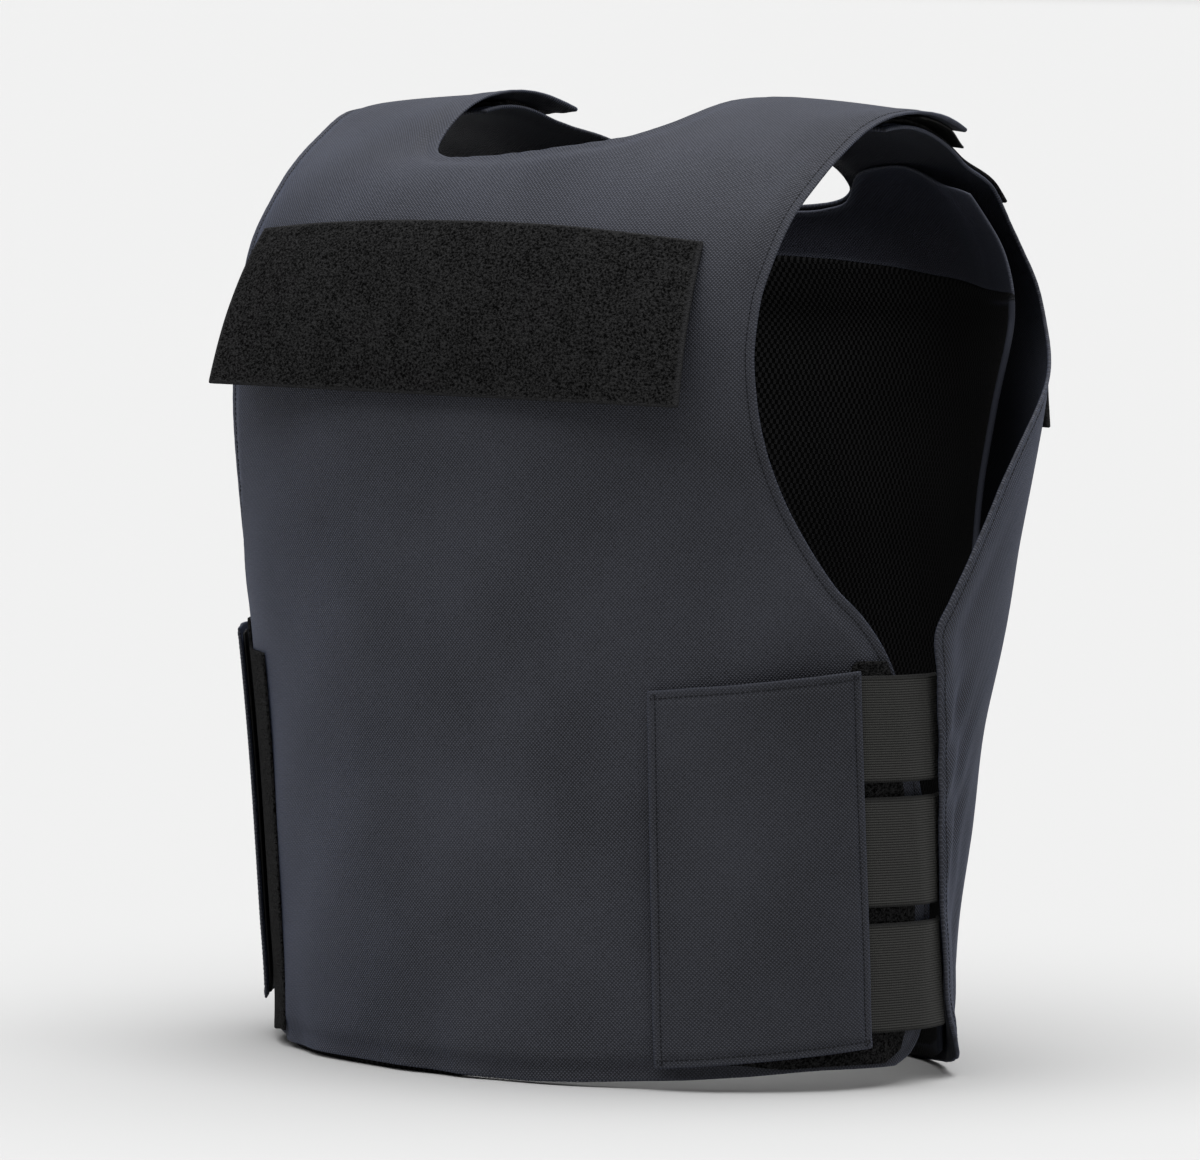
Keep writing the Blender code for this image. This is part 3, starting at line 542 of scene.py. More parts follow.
class Wall:
    """A cloth wall: merged grids of outer places, their faces, edges and normals."""

    def __init__(self, grids, flats):
        points, faces, flat = [], [], []
        start = 0
        for grid, uv in zip(grids, flats):
            rows, columns = grid.shape[:2]
            index = start + np.arange(rows * columns).reshape(rows, columns)
            quads = [index[:-1, :-1], index[:-1, 1:], index[1:, 1:], index[1:, :-1]]
            faces.append(np.stack(quads, -1).reshape(-1, 4))
            points.append(grid.reshape(-1, 3))
            flat.append(uv.reshape(-1, 2))
            start += rows * columns
        points, faces, flat = np.concatenate(points), np.concatenate(faces), np.concatenate(flat)
        points = settle(points)
        keys = np.round(points / SAME_SPOT).astype(np.int64)
        _, first, back = np.unique(keys, axis=0, return_index=True, return_inverse=True)
        self.points, self.flat = points[first], flat[first]
        self.faces = back.reshape(-1)[faces]
        if self.facing() < 0:
            self.faces = self.faces[:, ::-1]
        self.normals = self.vertex_normals()
        self.find_edges()

    def facing(self):
        """More than zero where the faces point away from the body."""
        corners = self.points[self.faces]
        area = np.cross(corners[:, 2] - corners[:, 0], corners[:, 3] - corners[:, 1])
        middle = corners.mean(1)
        core = middle * (0, 0, 1.0)
        core[:, 2] = np.minimum(core[:, 2], BODY_MIDDLE)
        return float(np.sum(area * (middle - core)))

    def vertex_normals(self):
        """Normals of the points, each face counted by its size."""
        corners = self.points[self.faces]
        area = np.cross(corners[:, 2] - corners[:, 0], corners[:, 3] - corners[:, 1])
        total = np.zeros_like(self.points)
        for k in range(4):
            np.add.at(total, self.faces[:, k], area)
        return total / np.maximum(np.linalg.norm(total, axis=1, keepdims=True), 1e-12)

    def find_edges(self):
        """Loops of edge points, and the direction out of the cloth at each."""
        pairs = np.concatenate([self.faces[:, [k, (k + 1) % 4]] for k in range(4)])
        pairs = pairs[pairs[:, 0] != pairs[:, 1]]
        known = {(a, b) for a, b in pairs.tolist()}
        self.rim = [(a, b) for a, b in known if (b, a) not in known]
        follow = dict(self.rim)
        self.loops = []
        left = set(follow)
        while left:
            here = min(left)
            loop = []
            while here in left:
                left.discard(here)
                loop.append(here)
                here = follow[here]
            self.loops.append(np.array(loop))
        self.out = np.zeros_like(self.points)
        for loop in self.loops:
            along = np.roll(self.points[loop], -1, 0) - np.roll(self.points[loop], 1, 0)
            out = np.cross(along, self.normals[loop])
            self.out[loop] = out / np.maximum(np.linalg.norm(out, axis=1, keepdims=True), 1e-12)

    def move(self, amount):
        """Moves the wall along its normals."""
        self.points = self.points + self.normals * amount[:, None]

    def from_edge(self, most):
        """Distance of each point from the cloth's edge, up to a most."""
        dots = []
        for loop in self.loops:
            a, b = self.points[loop], self.points[np.roll(loop, -1)]
            for t in np.linspace(0.0, 1.0, 5)[:-1]:
                dots.append(a + (b - a) * t)
        dots = np.concatenate(dots)
        tree = KDTree(len(dots))
        for k, dot in enumerate(dots):
            tree.insert(dot, k)
        tree.balance()
        far = np.array([tree.find(p)[2] for p in self.points])
        return np.minimum(far, most)

    def seam(self, inset, keep=None):
        """Lines of places on the cloth at a distance inside its edge, where the flat place is kept."""
        corners = [Vector(p) for p in self.points]
        tree = BVHTree.FromPolygons(corners, self.faces.tolist())
        lines = []
        for loop in self.loops:
            line = []
            for k in loop:
                aim = Vector(self.points[k] - self.out[k] * inset)
                spot, normal, face, far = tree.find_nearest(aim)
                if keep is None or keep(*self.flat[k]):
                    line.append(spot + normal * THREAD_RAISE)
                elif line:
                    lines.append(line)
                    line = []
            if line and keep is None:
                line.append(line[0])
            if line:
                lines.append(line)
        return [line for line in lines if len(line) > 3]


def wall_mesh(name, wall, thick, look, roll=1.0, marks=None, inner_look=None):
    """A closed mesh of the wall, thickened inwards, with rolled edges."""
    thick = np.broadcast_to(thick, len(wall.points))
    outer = wall.points
    inner = outer - wall.normals * thick[:, None]
    count = len(outer)
    points, flat = [outer, inner], [wall.flat, wall.flat]
    faces = [wall.faces, wall.faces[:, ::-1] + count]
    ring = np.array(sorted({a for a, _ in wall.rim}))
    slot = np.full(count, -1)
    slot[ring] = np.arange(len(ring))
    rim = np.array(wall.rim)
    before = rim
    for step in range(1, RIM_STEPS):
        turn = math.pi * step / RIM_STEPS
        half = thick[ring, None] / 2
        middle = outer[ring] - wall.normals[ring] * half
        bulge = wall.out[ring] * half * roll * math.sin(turn)
        spots = middle + wall.normals[ring] * half * math.cos(turn) + bulge
        start = 2 * count + (step - 1) * len(ring)
        after = start + slot[rim]
        faces.append(np.stack([before[:, 1], before[:, 0], after[:, 0], after[:, 1]], 1))
        before = after
        points.append(spots)
        flat.append(wall.flat[ring])
    last = rim + count
    faces.append(np.stack([before[:, 1], before[:, 0], last[:, 0], last[:, 1]], 1))
    # The inside mark is 0 on the outer face, 1 on the inner face and between on the rolled edge; the twill paints
    # shade by it
    round_rim = np.repeat(np.linspace(0, 1, RIM_STEPS + 1)[1:-1], len(ring))
    extra = {"inside": np.concatenate([np.zeros(count), np.ones(count), round_rim])}
    for word, values in (marks or {}).items():
        values = np.broadcast_to(values, count)
        rings = [values[ring]] * (RIM_STEPS - 1)
        extra[word] = np.concatenate([values, values] + rings)
    points, faces, flat = np.concatenate(points), np.concatenate(faces), np.concatenate(flat)
    piece = mesh_piece(name, points, faces, look, flat, extra)
    if inner_look:
        piece.data.materials.append(inner_look)
        for polygon in piece.data.polygons:
            lowest, highest = min(polygon.vertices), max(polygon.vertices)
            polygon.material_index = int(lowest >= count and highest < 2 * count)
    return piece


def mesh_piece(name, points, faces, look, flat=None, marks=None):
    """A mesh object with smooth faces, a flat pattern as its UV map, and marks per point."""
    faces = np.asarray(faces)
    data = bpy.data.meshes.new(name)
    data.from_pydata(np.asarray(points, float).tolist(), [], faces.tolist())
    data.validate()
    for polygon in data.polygons:
        polygon.use_smooth = True
    if flat is not None:
        layer = data.uv_layers.new(name="pattern")
        corner = np.zeros(len(data.loops), np.int32)
        data.loops.foreach_get("vertex_index", corner)
        layer.data.foreach_set("uv", np.asarray(flat)[corner].astype(np.float32).ravel())
    for word, values in (marks or {}).items():
        attribute = data.attributes.new(word, "FLOAT", "POINT")
        attribute.data.foreach_set("value", np.asarray(values, np.float32))
    data.update()
    piece = bpy.data.objects.new(name, data)
    bpy.context.scene.collection.objects.link(piece)
    data.materials.append(look)
    return piece


def cut(wall):
    """Size of the flat cloth that a wall is cut from, and its area."""
    corners = wall.flat[wall.faces]
    one, other = corners[:, 2] - corners[:, 0], corners[:, 3] - corners[:, 1]
    area = np.abs(one[:, 0] * other[:, 1] - one[:, 1] * other[:, 0]).sum() / 2
    wide, long = np.ptp(wall.flat, axis=0)
    return {"flat": (float(wide), float(long)), "area": float(min(area, wide * long))}


def dress(piece, look, *nodes):
    """The piece rides on the vest, takes its look's finish and stands for its solids."""
    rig.ride(piece, "root")
    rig.slot(piece, SLOTS[look])
    if nodes:
        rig.replaces(piece, *nodes)


def sheet(name, wall, thick, look, node, held, rests_on, **finish):
    """A cloth of one layer that stands for a solid."""
    piece = wall_mesh(name, wall, thick, look, **finish)
    dress(piece, look, node)
    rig.sheet(piece, **cut(wall), held=held, rests_on=rests_on)


# Materials

def new_node(tree, kind, settings, sockets, out=0):
    """One output of a new node, with its settings and the values or links of its sockets."""
    node = tree.nodes.new(kind)
    for name, value in settings.items():
        setattr(node, name, value)
    for key, value in sockets.items():
        if isinstance(value, Wire):
            value = value.socket
        if isinstance(value, bpy.types.NodeSocket):
            tree.links.new(value, node.inputs[key])
        else:
            node.inputs[key].default_value = value
    return node.outputs[out]


class Wire:
    """A shader socket that takes part in sums."""

    def __init__(self, tree, socket):
        self.tree, self.socket = tree, socket

    def math(self, operation, *others, **settings):
        """A Math node on this wire and on other wires or numbers."""
        settings["operation"] = operation
        sockets = dict(enumerate((self,) + others))
        return Wire(self.tree, new_node(self.tree, "ShaderNodeMath", settings, sockets))

    def __add__(self, other):
        return self.math("ADD", other)

    def __mul__(self, other):
        return self.math("MULTIPLY", other)

    def __sub__(self, other):
        return self.math("SUBTRACT", other)

    def __rsub__(self, other):
        return self * -1.0 + other

    __radd__ = __add__
    __rmul__ = __mul__

    def sine(self):
        return self.math("SINE")

    def cosine(self):
        return self.math("COSINE")

    def between(self, low, high):
        """0 at low and below, 1 at high and above."""
        return ((self - low) * (1.0 / (high - low))).math("ADD", 0.0, use_clamp=True)


class Look:
    """A Principled material built node by node."""

    def __init__(self, name, **constants):
        self.material = bpy.data.materials.new(name)
        self.material.use_nodes = True
        self.tree = self.material.node_tree
        self.shader = self.tree.nodes["Principled BSDF"]
        for socket, value in constants.items():
            self.shader.inputs[socket.replace("_", " ")].default_value = value

    def node(self, kind, settings, sockets, out=0):
        """A new node's output, as a wire."""
        return Wire(self.tree, new_node(self.tree, kind, settings, sockets, out))

    def flat(self):
        """The flat pattern of the piece, in metres: across and along."""
        whole = self.node("ShaderNodeUVMap", {"uv_map": "pattern"}, {})
        across = self.node("ShaderNodeSeparateXYZ", {}, {"Vector": whole})
        return across, Wire(self.tree, across.socket.node.outputs[1])

    def mark(self, name):
        """A mark that the mesh holds for each point."""
        return self.node("ShaderNodeAttribute", {"attribute_name": name}, {}, out=2)

    def noise(self, scale, detail, roughness=0.5):
        """Noise on the piece's own coordinates, from 0 to 1."""
        sockets = {
            "Vector": self.node("ShaderNodeTexCoord", {}, {}, out=3),
            "Scale": scale, "Detail": detail, "Roughness": roughness,
        }
        return self.node("ShaderNodeTexNoise", {}, sockets)

    def blend(self, share, dark, light):
        """Colour between two, by a share."""
        return self.node("ShaderNodeMix", {"data_type": "RGBA"}, {0: share, 6: dark, 7: light}, out=2)

    def feed(self, socket, wire):
        self.tree.links.new(wire.socket, self.shader.inputs[socket])

    def bump(self, height, depth, strength):
        sockets = {"Height": height, "Distance": depth, "Strength": strength}
        self.feed("Normal", self.node("ShaderNodeBump", {}, sockets))


def shade(color, times):
    """A colour made darker or lighter."""
    return tuple(c * times for c in color[:3]) + (1.0,)


NAVY = (0.0232, 0.0244, 0.0306, 1.0)
# Lighter bluish navy: the painted highlight on rolled cloth edges, and the mesh's navy binding
SLATE_HIGHLIGHT_AND_BINDING = (0.034, 0.037, 0.050, 1.0)
# Cover navy painted darker for the yoke inside the vest: painted shade
SHADED_YOKE_NAVY = (0.0165, 0.0175, 0.0268, 1.0)
BLUISH = (0.42, 0.55, 1.0, 1.0)
TWILL_PITCH, CORD_PITCH, HOOK_PITCH = 0.00125, 0.0011, 0.001496
MESH_PITCH = (0.0035, 0.0051)       # two columns and two rows of holes, across and along


def twill_look(name="navy_twill", color=NAVY, edge=SLATE_HIGHLIGHT_AND_BINDING, sheen=0.10, rim_highlight_share=0.30):
    """Twill cloth: fine diagonal ribs crossed by the yarns, with a painted highlight on rolled edges, painted shade on
    inner faces, and broad patches of random tone and painted sheen.
    """
    look = Look(
        name, Specular_IOR_Level=0.22, Sheen_Weight=sheen, Sheen_Roughness=0.40, Sheen_Tint=BLUISH)
    u, v = look.flat()
    turn = 2 * math.pi / TWILL_PITCH
    wander = look.noise(45.0, 1.0)
    diagonal = ((u * 0.66 + v * 0.75 + wander * 0.0004) * turn).sine() * 0.5 + 0.5
    cross = ((u * 0.75 - v * 0.66 + wander * 0.0004) * turn).sine() * 0.5 + 0.5
    weave = diagonal * cross * 1.6
    fibre = look.noise(2100.0, 2.0)
    mottle = look.noise(760.0, 3.0, roughness=0.7)
    # Broad soft patches in the colour: random tone and painted sheen
    broad_tone_and_sheen = look.noise(13.0, 3.0)
    rim, inside = look.mark("edge"), look.mark("inside")
    tone = weave * 1.10 + fibre * 0.30 + mottle * 0.80 + broad_tone_and_sheen * 0.80 - 0.78
    base = look.blend(tone.between(0.0, 1.0), shade(color, 0.22), shade(color, 1.90))
    # Rolled edges are painted lighter by the edge mark: a painted highlight
    base = look.blend(rim * rim_highlight_share, base, edge)
    # Inner faces are painted darker: painted shade inside the vest
    look.feed("Base Color", look.blend(inside * 0.25, base, shade(color, 0.20)))
    look.feed("Roughness", fibre * 0.20 + 0.62)
    look.bump(weave * 0.9 + mottle * 0.4 + fibre * 0.3, 0.00040, 0.7)
    return look.material


def loop_look():
    """Brushed loop: black, matt, with fine curls that catch the light."""
    look = Look("loop_pile", Specular_IOR_Level=0.03)
    curls = look.noise(800.0, 1.0, roughness=0.6)
    fine = look.noise(1500.0, 1.0)
    clumps = look.noise(70.0, 2.0)
    rim = look.mark("edge")
    tone = (curls * 0.80 + fine * 0.40 + clumps * 0.12 - 0.16).between(0.36, 0.64)
    base = look.blend(tone, (0.0002, 0.0002, 0.0002, 1), (0.0185, 0.0185, 0.0188, 1))
    look.feed("Base Color", look.blend(rim * 0.8, base, (0.022, 0.022, 0.023, 1)))
    look.feed("Roughness", curls * 0.2 + 0.78)
    look.bump(curls + fine * 0.4, 0.0016, 1.0)
    return look.material


def mesh_look():
    """Spacer mesh: staggered upright holes in knitted threads, bound in navy at its edge."""
    look = Look("spacer_mesh", Specular_IOR_Level=0.05)
    u, v = look.flat()
    wander = look.noise(60.0, 1.0)
    bend = look.noise(11.0, 1.0)
    across = ((u + bend * 0.016) * (2 * math.pi / MESH_PITCH[0]) + wander * 0.6).cosine()
    down = ((v + bend * 0.010) * (2 * math.pi / MESH_PITCH[1])).cosine()
    hole = (across * down).between(-0.06, 0.12)
    knit = look.noise(1500.0, 3.0)
    bound = look.mark("edge")
    tone = knit * 0.6 + bend * 0.6 - 0.12
    threads = look.blend(tone, (0.0026, 0.0026, 0.0028, 1), (0.0240, 0.0240, 0.0250, 1))
    # The holes are painted near black, for the dark layer behind them and painted shade deep in them
    base = look.blend(hole, threads, (0.0001, 0.0001, 0.0001, 1))
    look.feed("Base Color", look.blend(bound, base, shade(SLATE_HIGHLIGHT_AND_BINDING, 0.60)))
    look.feed("Roughness", knit * 0.3 + 0.55)
    open_hole = hole * (1.0 - bound)
    look.bump(knit * 0.25 - open_hole, 0.0013, 1.0)
    return look.material


def hook_look():
    """Hook tape: small stiff hooks in rows."""
    look = Look("hook_tape", Specular_IOR_Level=0.15)
    u, v = look.flat()
    turn = 2 * math.pi / HOOK_PITCH
    rows = (u * turn).sine() * (v * turn).sine() * 0.5 + 0.5
    look.feed("Base Color", look.blend(rows, (0.0012, 0.0012, 0.0012, 1), (0.0070, 0.0070, 0.0072, 1)))
    look.feed("Roughness", rows * 0.3 + 0.45)
    look.bump(rows, 0.0006, 0.8)
    return look.material


def elastic_look():
    """Ribbed elastic: yarns along the ribs, cords of rubber across them, and painted shade in the grooves between the
    ribs.
    """
    look = Look("ribbed_elastic", Specular_IOR_Level=0.20, Sheen_Weight=0.03)
    u = look.flat()[0]
    cords = (u * (2 * math.pi / CORD_PITCH)).sine() * 0.5 + 0.5
    fibre = look.noise(1500.0, 3.0)
    # Grooves between the ribs are painted dark: painted shade
    rib = look.mark("rib")
    tone = (rib * 0.95 + cords * 0.10 + fibre * 0.4 - 0.30).between(0.0, 1.0)
    look.feed("Base Color", look.blend(tone, (0.0012, 0.0012, 0.0011, 1), (0.040, 0.040, 0.0372, 1)))
    look.feed("Roughness", fibre * 0.25 + 0.62)
    look.bump(cords * 0.5 + fibre, 0.0003, 0.6)
    return look.material


def thread_look():
    """Sewing thread, a shade darker than the cloth."""
    look = Look("sewing_thread", Specular_IOR_Level=0.20)
    twist = look.noise(2500.0, 1.0)
    look.feed("Base Color", look.blend(twist, (0.0018, 0.0020, 0.0030, 1), (0.0062, 0.0068, 0.0094, 1)))
    look.feed("Roughness", twist * 0.2 + 0.55)
    return look.material


TWILL = twill_look()
LOOP = loop_look()
# The yoke is the cover cloth painted darker for the shade inside the vest, with a strong painted highlight on its
# edges
YOKE = twill_look("yoke_twill", SHADED_YOKE_NAVY, shade(SLATE_HIGHLIGHT_AND_BINDING, 1.4), 0.03, 0.8)
# Cover cloth painted darker for the side flaps: painted shade, as they face away from the light
SHADED_FLAP = twill_look("flap_twill", shade(NAVY, 0.84))
# Cover cloth painted darker for the covers' inner faces: painted shade inside the vest
INNER_SHADED = twill_look("shaded_inner_twill", shade(NAVY, 0.36), shade(SLATE_HIGHLIGHT_AND_BINDING, 0.4), 0.02)
MESH = mesh_look()
HOOK = hook_look()
ELASTIC = elastic_look()
THREAD = thread_look()

# Finish of each look, as the record names it
SLOTS = {
    TWILL: "shell_cloth", YOKE: "shell_cloth", SHADED_FLAP: "shell_cloth", THREAD: "shell_cloth",
    LOOP: "loop_pile", MESH: "spacer_mesh", HOOK: "hook_tape", ELASTIC: "ribbed_elastic",
}


# Geometry Nodes

class Tree:
    """A geometry node tree with named inputs."""

    def __init__(self, name, **inputs):
        self.tree = bpy.data.node_groups.new(name, "GeometryNodeTree")
        face = self.tree.interface
        face.new_socket("Geometry", in_out="INPUT", socket_type="NodeSocketGeometry")
        self.inputs = []
        for word, value in inputs.items():
            kind = "NodeSocketFloat" if isinstance(value, float) else "NodeSocketMaterial"
            made = face.new_socket(word, in_out="INPUT", socket_type=kind)
            self.inputs.append((made.identifier, value))
        face.new_socket("Geometry", in_out="OUTPUT", socket_type="NodeSocketGeometry")
        self.source = self.tree.nodes.new("NodeGroupInput")
        self.sink = self.tree.nodes.new("NodeGroupOutput")

    def given(self, word):
        """The socket of an input."""
        return self.source.outputs[word]

    def add(self, kind, settings=None, out=0, **sockets):
        """A new node's output."""
        return new_node(self.tree, kind, settings or {}, sockets, out)

    def finish(self, geometry, material):
        """Ends the tree with real geometry in a material."""
        real = self.add("GeometryNodeRealizeInstances", Geometry=geometry)
        named = self.add("GeometryNodeSetMaterial", Geometry=real, Material=self.given(material))
        self.tree.links.new(named, self.sink.inputs[0])

    def run(self, source, name):
        """Puts the tree on an object and returns the result as a plain mesh object."""
        modifier = source.modifiers.new("nodes", "NODES")
        modifier.node_group = self.tree
        for key, value in self.inputs:
            modifier[key] = value
        deps = bpy.context.evaluated_depsgraph_get()
        data = bpy.data.meshes.new_from_object(source.evaluated_get(deps))
        data.name = name
        made = bpy.data.objects.new(name, data)
        bpy.context.scene.collection.objects.link(made)
        bpy.data.objects.remove(source, do_unlink=True)
        return made


def stitch_tree():
    """Stitches along a line: a thread lies on the cloth, then dips into it."""
    tree = Tree("stitches", Pitch=0.0024, Length=0.0019, Thread=0.00055, Look=THREAD)
    even = tree.add(
        "GeometryNodeResampleCurve", {"mode": "LENGTH"},
        Curve=tree.given("Geometry"), Length=tree.given("Pitch"))
    spots = tree.add("GeometryNodeCurveToPoints", {"mode": "EVALUATED"}, out="Points", Curve=even)
    ball = tree.add("GeometryNodeMeshUVSphere", Segments=6, Rings=4, Radius=0.5)
    size = tree.add(
        "ShaderNodeCombineXYZ", X=tree.given("Thread"), Y=tree.given("Thread"), Z=tree.given("Length"))
    bead = tree.add("GeometryNodeTransform", Geometry=ball, Scale=size)
    laid = tree.add(
        "GeometryNodeInstanceOnPoints", Points=spots, Instance=bead,
        Rotation=spots.node.outputs["Rotation"])
    tree.finish(laid, "Look")
    return tree


STITCHES = stitch_tree()


def stitches(name, lines):
    """Stitches along the given lines of places, as one mesh."""
    data = bpy.data.curves.new(name, "CURVE")
    data.dimensions = "3D"
    for line in lines:
        spline = data.splines.new("POLY")
        spline.points.add(len(line) - 1)
        for point, spot in zip(spline.points, line):
            point.co = (*spot, 1.0)
    source = bpy.data.objects.new(name + "_line", data)
    bpy.context.scene.collection.objects.link(source)
    made = STITCHES.run(source, name)
    for polygon in made.data.polygons:
        polygon.use_smooth = True
    dress(made, THREAD)


# The vest's pieces

def puff(wall, thick, edge_thick, roll_width=0.0034, rise=0.009, groove=0.0003):
    """Presses a padded wall together at its edge and at the seam just inside it."""
    far = wall.from_edge(roll_width + rise)
    inside = ease((far - roll_width) / rise)
    fit = edge_thick + (thick - edge_thick) * inside
    seam = groove * np.exp(-((far - roll_width) / 0.0008) ** 2)
    wall.points = wall.points - wall.normals * ((thick - fit) / 2 + seam)[:, None]
    # Mark of the rolled edge, where the twill paints a highlight
    edge = 1 - ease((far - 0.0003) / 0.0009)
    return fit - seam, edge


def hem(angle):
    """Path of the front's hem: low in the middle, higher at the sides, most on the wearer's left."""
    low, high = FRONT_HEM
    more = 0.0050 * ease((angle - 8.0) / 48.0)
    return low + (high - low) * ease((np.abs(angle) - 42.0) / 28.0) + more


def hemmed(path, edge, reach=0.030):
    """Paths of a panel whose first row is shifted to its hem; the shift dies out above."""
    shift = edge - path[0]
    return path + shift * (1 - ease(np.abs(path - path[0]) / reach))


def back_hem(angle, low):
    """Path of the back's hem: rounded up at its side corners."""
    turn = np.abs(angle)
    return low - 0.0040 * ease((turn - 36.0) / 30.0) - 0.0060 * ease((turn - 58.0) / 18.0)


def seam_puckers(wall, far, size=0.00012):
    """Small waves that the thread draws into the cloth beside a seam."""
    u, v = wall.flat.T
    wave = np.sin(u * 610 + v * 540 + 2.2 * np.sin(u * 97 + v * 71)) + 0.6 * np.sin(v * 930 - u * 820)
    return size * wave * np.exp(-((far - 0.0055) / 0.0045) ** 2)


def slack(wall, size=0.0007):
    """Long shallow unevenness of a cover over its panel."""
    u, v = wall.flat.T
    wave = np.sin(u * 41 + 3.0 * np.sin(v * 13)) * np.sin(v * 27 + 1.1 + 2.0 * np.sin(u * 19))
    return size * (wave + 0.5 * np.sin(u * 83 - v * 61 + 0.7))


def front_cover():
    """Padded outer wall of the front with both shoulder straps."""
    def fit(path, angle):
        return hemmed(path, hem(angle) - 0.0016 * ease((angle + 10.0) / 22.0))

    def sewn_here(across, along):
        return along > 0.03 and abs(across) > 0.11

    path, angle = panel_halves(FRONT_ROWS, NECK_ROW["front"], PANEL_COLUMNS)
    wall = both_halves(path, angle, lambda p, a: strap_lift(p), fit)
    far = wall.from_edge(0.03)
    u, v = wall.flat.T
    # The hem hangs in scallops and the neck's seam draws the cloth in.
    scallop = 0.0011 * np.sin(u * 128 + 1.3 * np.sin(u * 47)) * np.exp(-v / 0.022)
    neck = ease((v - 0.428) / 0.012) * ease((0.105 - np.abs(u)) / 0.02) * np.exp(-far / 0.012)
    pucker = 0.00022 * np.sin(u * 420 + 1.5 * np.sin(u * 150)) * neck
    wall.move(seam_puckers(wall, far) + slack(wall) * ease(far / 0.02) + scallop + pucker)
    # The straps are thinner than the padded front, and no seam shows along the hem.
    body = FRONT_THICK - STRAP_THIN * ease((v - 0.470) / 0.050)
    sewn = ease((v - 0.030) / 0.020) * ease((np.abs(u) - 0.100) / 0.020)
    flat_edge = 0.0014 + 0.0010 * ease((v - 0.550) / 0.030)
    thick, edge = puff(wall, body, flat_edge, groove=0.0003 * sewn)
    cover = wall_mesh("front_cover", wall, thick, TWILL, marks={"edge": edge}, inner_look=INNER_SHADED)
    dress(cover, TWILL, "front_panel")
    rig.padded(cover, fill=0.8)
    wall.normals = wall.vertex_normals()
    stitches("front_stitches", wall.seam(SEAM_INSET, sewn_here))


def back_cover():
    """Outer wall of the back with the straps under the front ones."""
    path, angle = panel_halves(BACK_ROWS, NECK_ROW["back"], PANEL_COLUMNS)
    wall = both_halves(hemmed(path, back_hem(angle[0], BACK_HEM)), angle, back_lift)
    far = wall.from_edge(0.06)
    u, v = wall.flat.T
    # The wings crease beside their edge.
    low = ease((v - 0.86) / 0.06) * ease((1.07 - v) / 0.03) * np.exp(-((far - 0.018) / 0.020) ** 2)
    crease = np.sin(u * 330 + 2.5 * np.sin(v * 37)) + 0.5 * np.sin(v * 160 + u * 90)
    ripple = 0.0008 * crease * low * ease((np.abs(u) - 0.12) / 0.05)
    wall.move(seam_puckers(wall, far) + slack(wall) * ease(far / 0.02) + ripple)
    thick, edge = puff(wall, BACK_THICK, 0.0018)
    cover = wall_mesh("back_cover", wall, thick, TWILL, marks={"edge": edge}, inner_look=INNER_SHADED)
    dress(cover, TWILL, "back_panel")
    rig.padded(cover, fill=0.6)
    wall.normals = wall.vertex_normals()
    stitches("back_stitches", wall.seam(SEAM_INSET))


def hung_flap(name, shape, node):
    """Stiff loop faced panel, sewn along its top edge and hanging free below."""
    side = 1 if shape["depth"] > 0 else -1
    share = np.linspace(-1.0, 1.0, 121)
    down = spread(37)[:, None]
    top = shape["seam"] - shape["bow"] * share**2
    path = top * (1 - down) + path_at(shape["low"], side) * down
    wide = shape["top"] * (1 - down) + shape["bottom"] * down
    aside = shape["aside"][0] * (1 - down) + shape["aside"][1] * down
    angle = angle_at(path, share * wide + aside)
    grid = place(path, angle, FLAT_GAP + ID_FLAP_THICK)
    bottom = np.stack([
        share * shape["bottom"] + shape["aside"][1],
        shape["depth"] - side * shape["fall"] * share**2,
        np.full_like(share, shape["low"]),
    ], -1) - ORIGIN
    grid = grid + (bottom - grid[-1]) * down[..., None] ** 1.3
    wall = Wall([grid], [pattern(path, angle)])
    edge = 1 - ease((wall.from_edge(0.01) - 0.0003) / 0.0008)
    sheet(name, wall, ID_FLAP_THICK, LOOP, node, "hung", [node], roll=0.5, marks={"edge": edge})


def front_lining():
    """Mesh inner wall of the front, lower where it shows under the hem."""
    def fit(path, angle):
        shown = ease((20.0 - angle) / 25.0) * ease((angle + 60.0) / 14.0)
        return hemmed(path, hem(angle) + 0.0014 - 0.0036 * shown)

    numbers = row_numbers(np.diff(LINING_ROWS[:, 2]), fine=0.005)
    edge = tame(LINING_ROWS, numbers)
    share = spread(40)
    path = edge[:, 0:1] + (edge[:, 2:3] - edge[:, 0:1]) * share
    angle = edge[:, 3:4] * share
    wall = both_halves(path, angle, lambda p, a: -(FRONT_THICK + LINING_GAP), fit)
    bound = 1 - ease((wall.from_edge(0.02) - BINDING) / 0.0006)
    bound = bound * ease((wall.flat[:, 1] - 0.012) / 0.006)
    sheet("front_mesh", wall, LINING_THICK, MESH, "front_lining", "stretched", ["front_panel"],
          marks={"edge": bound})


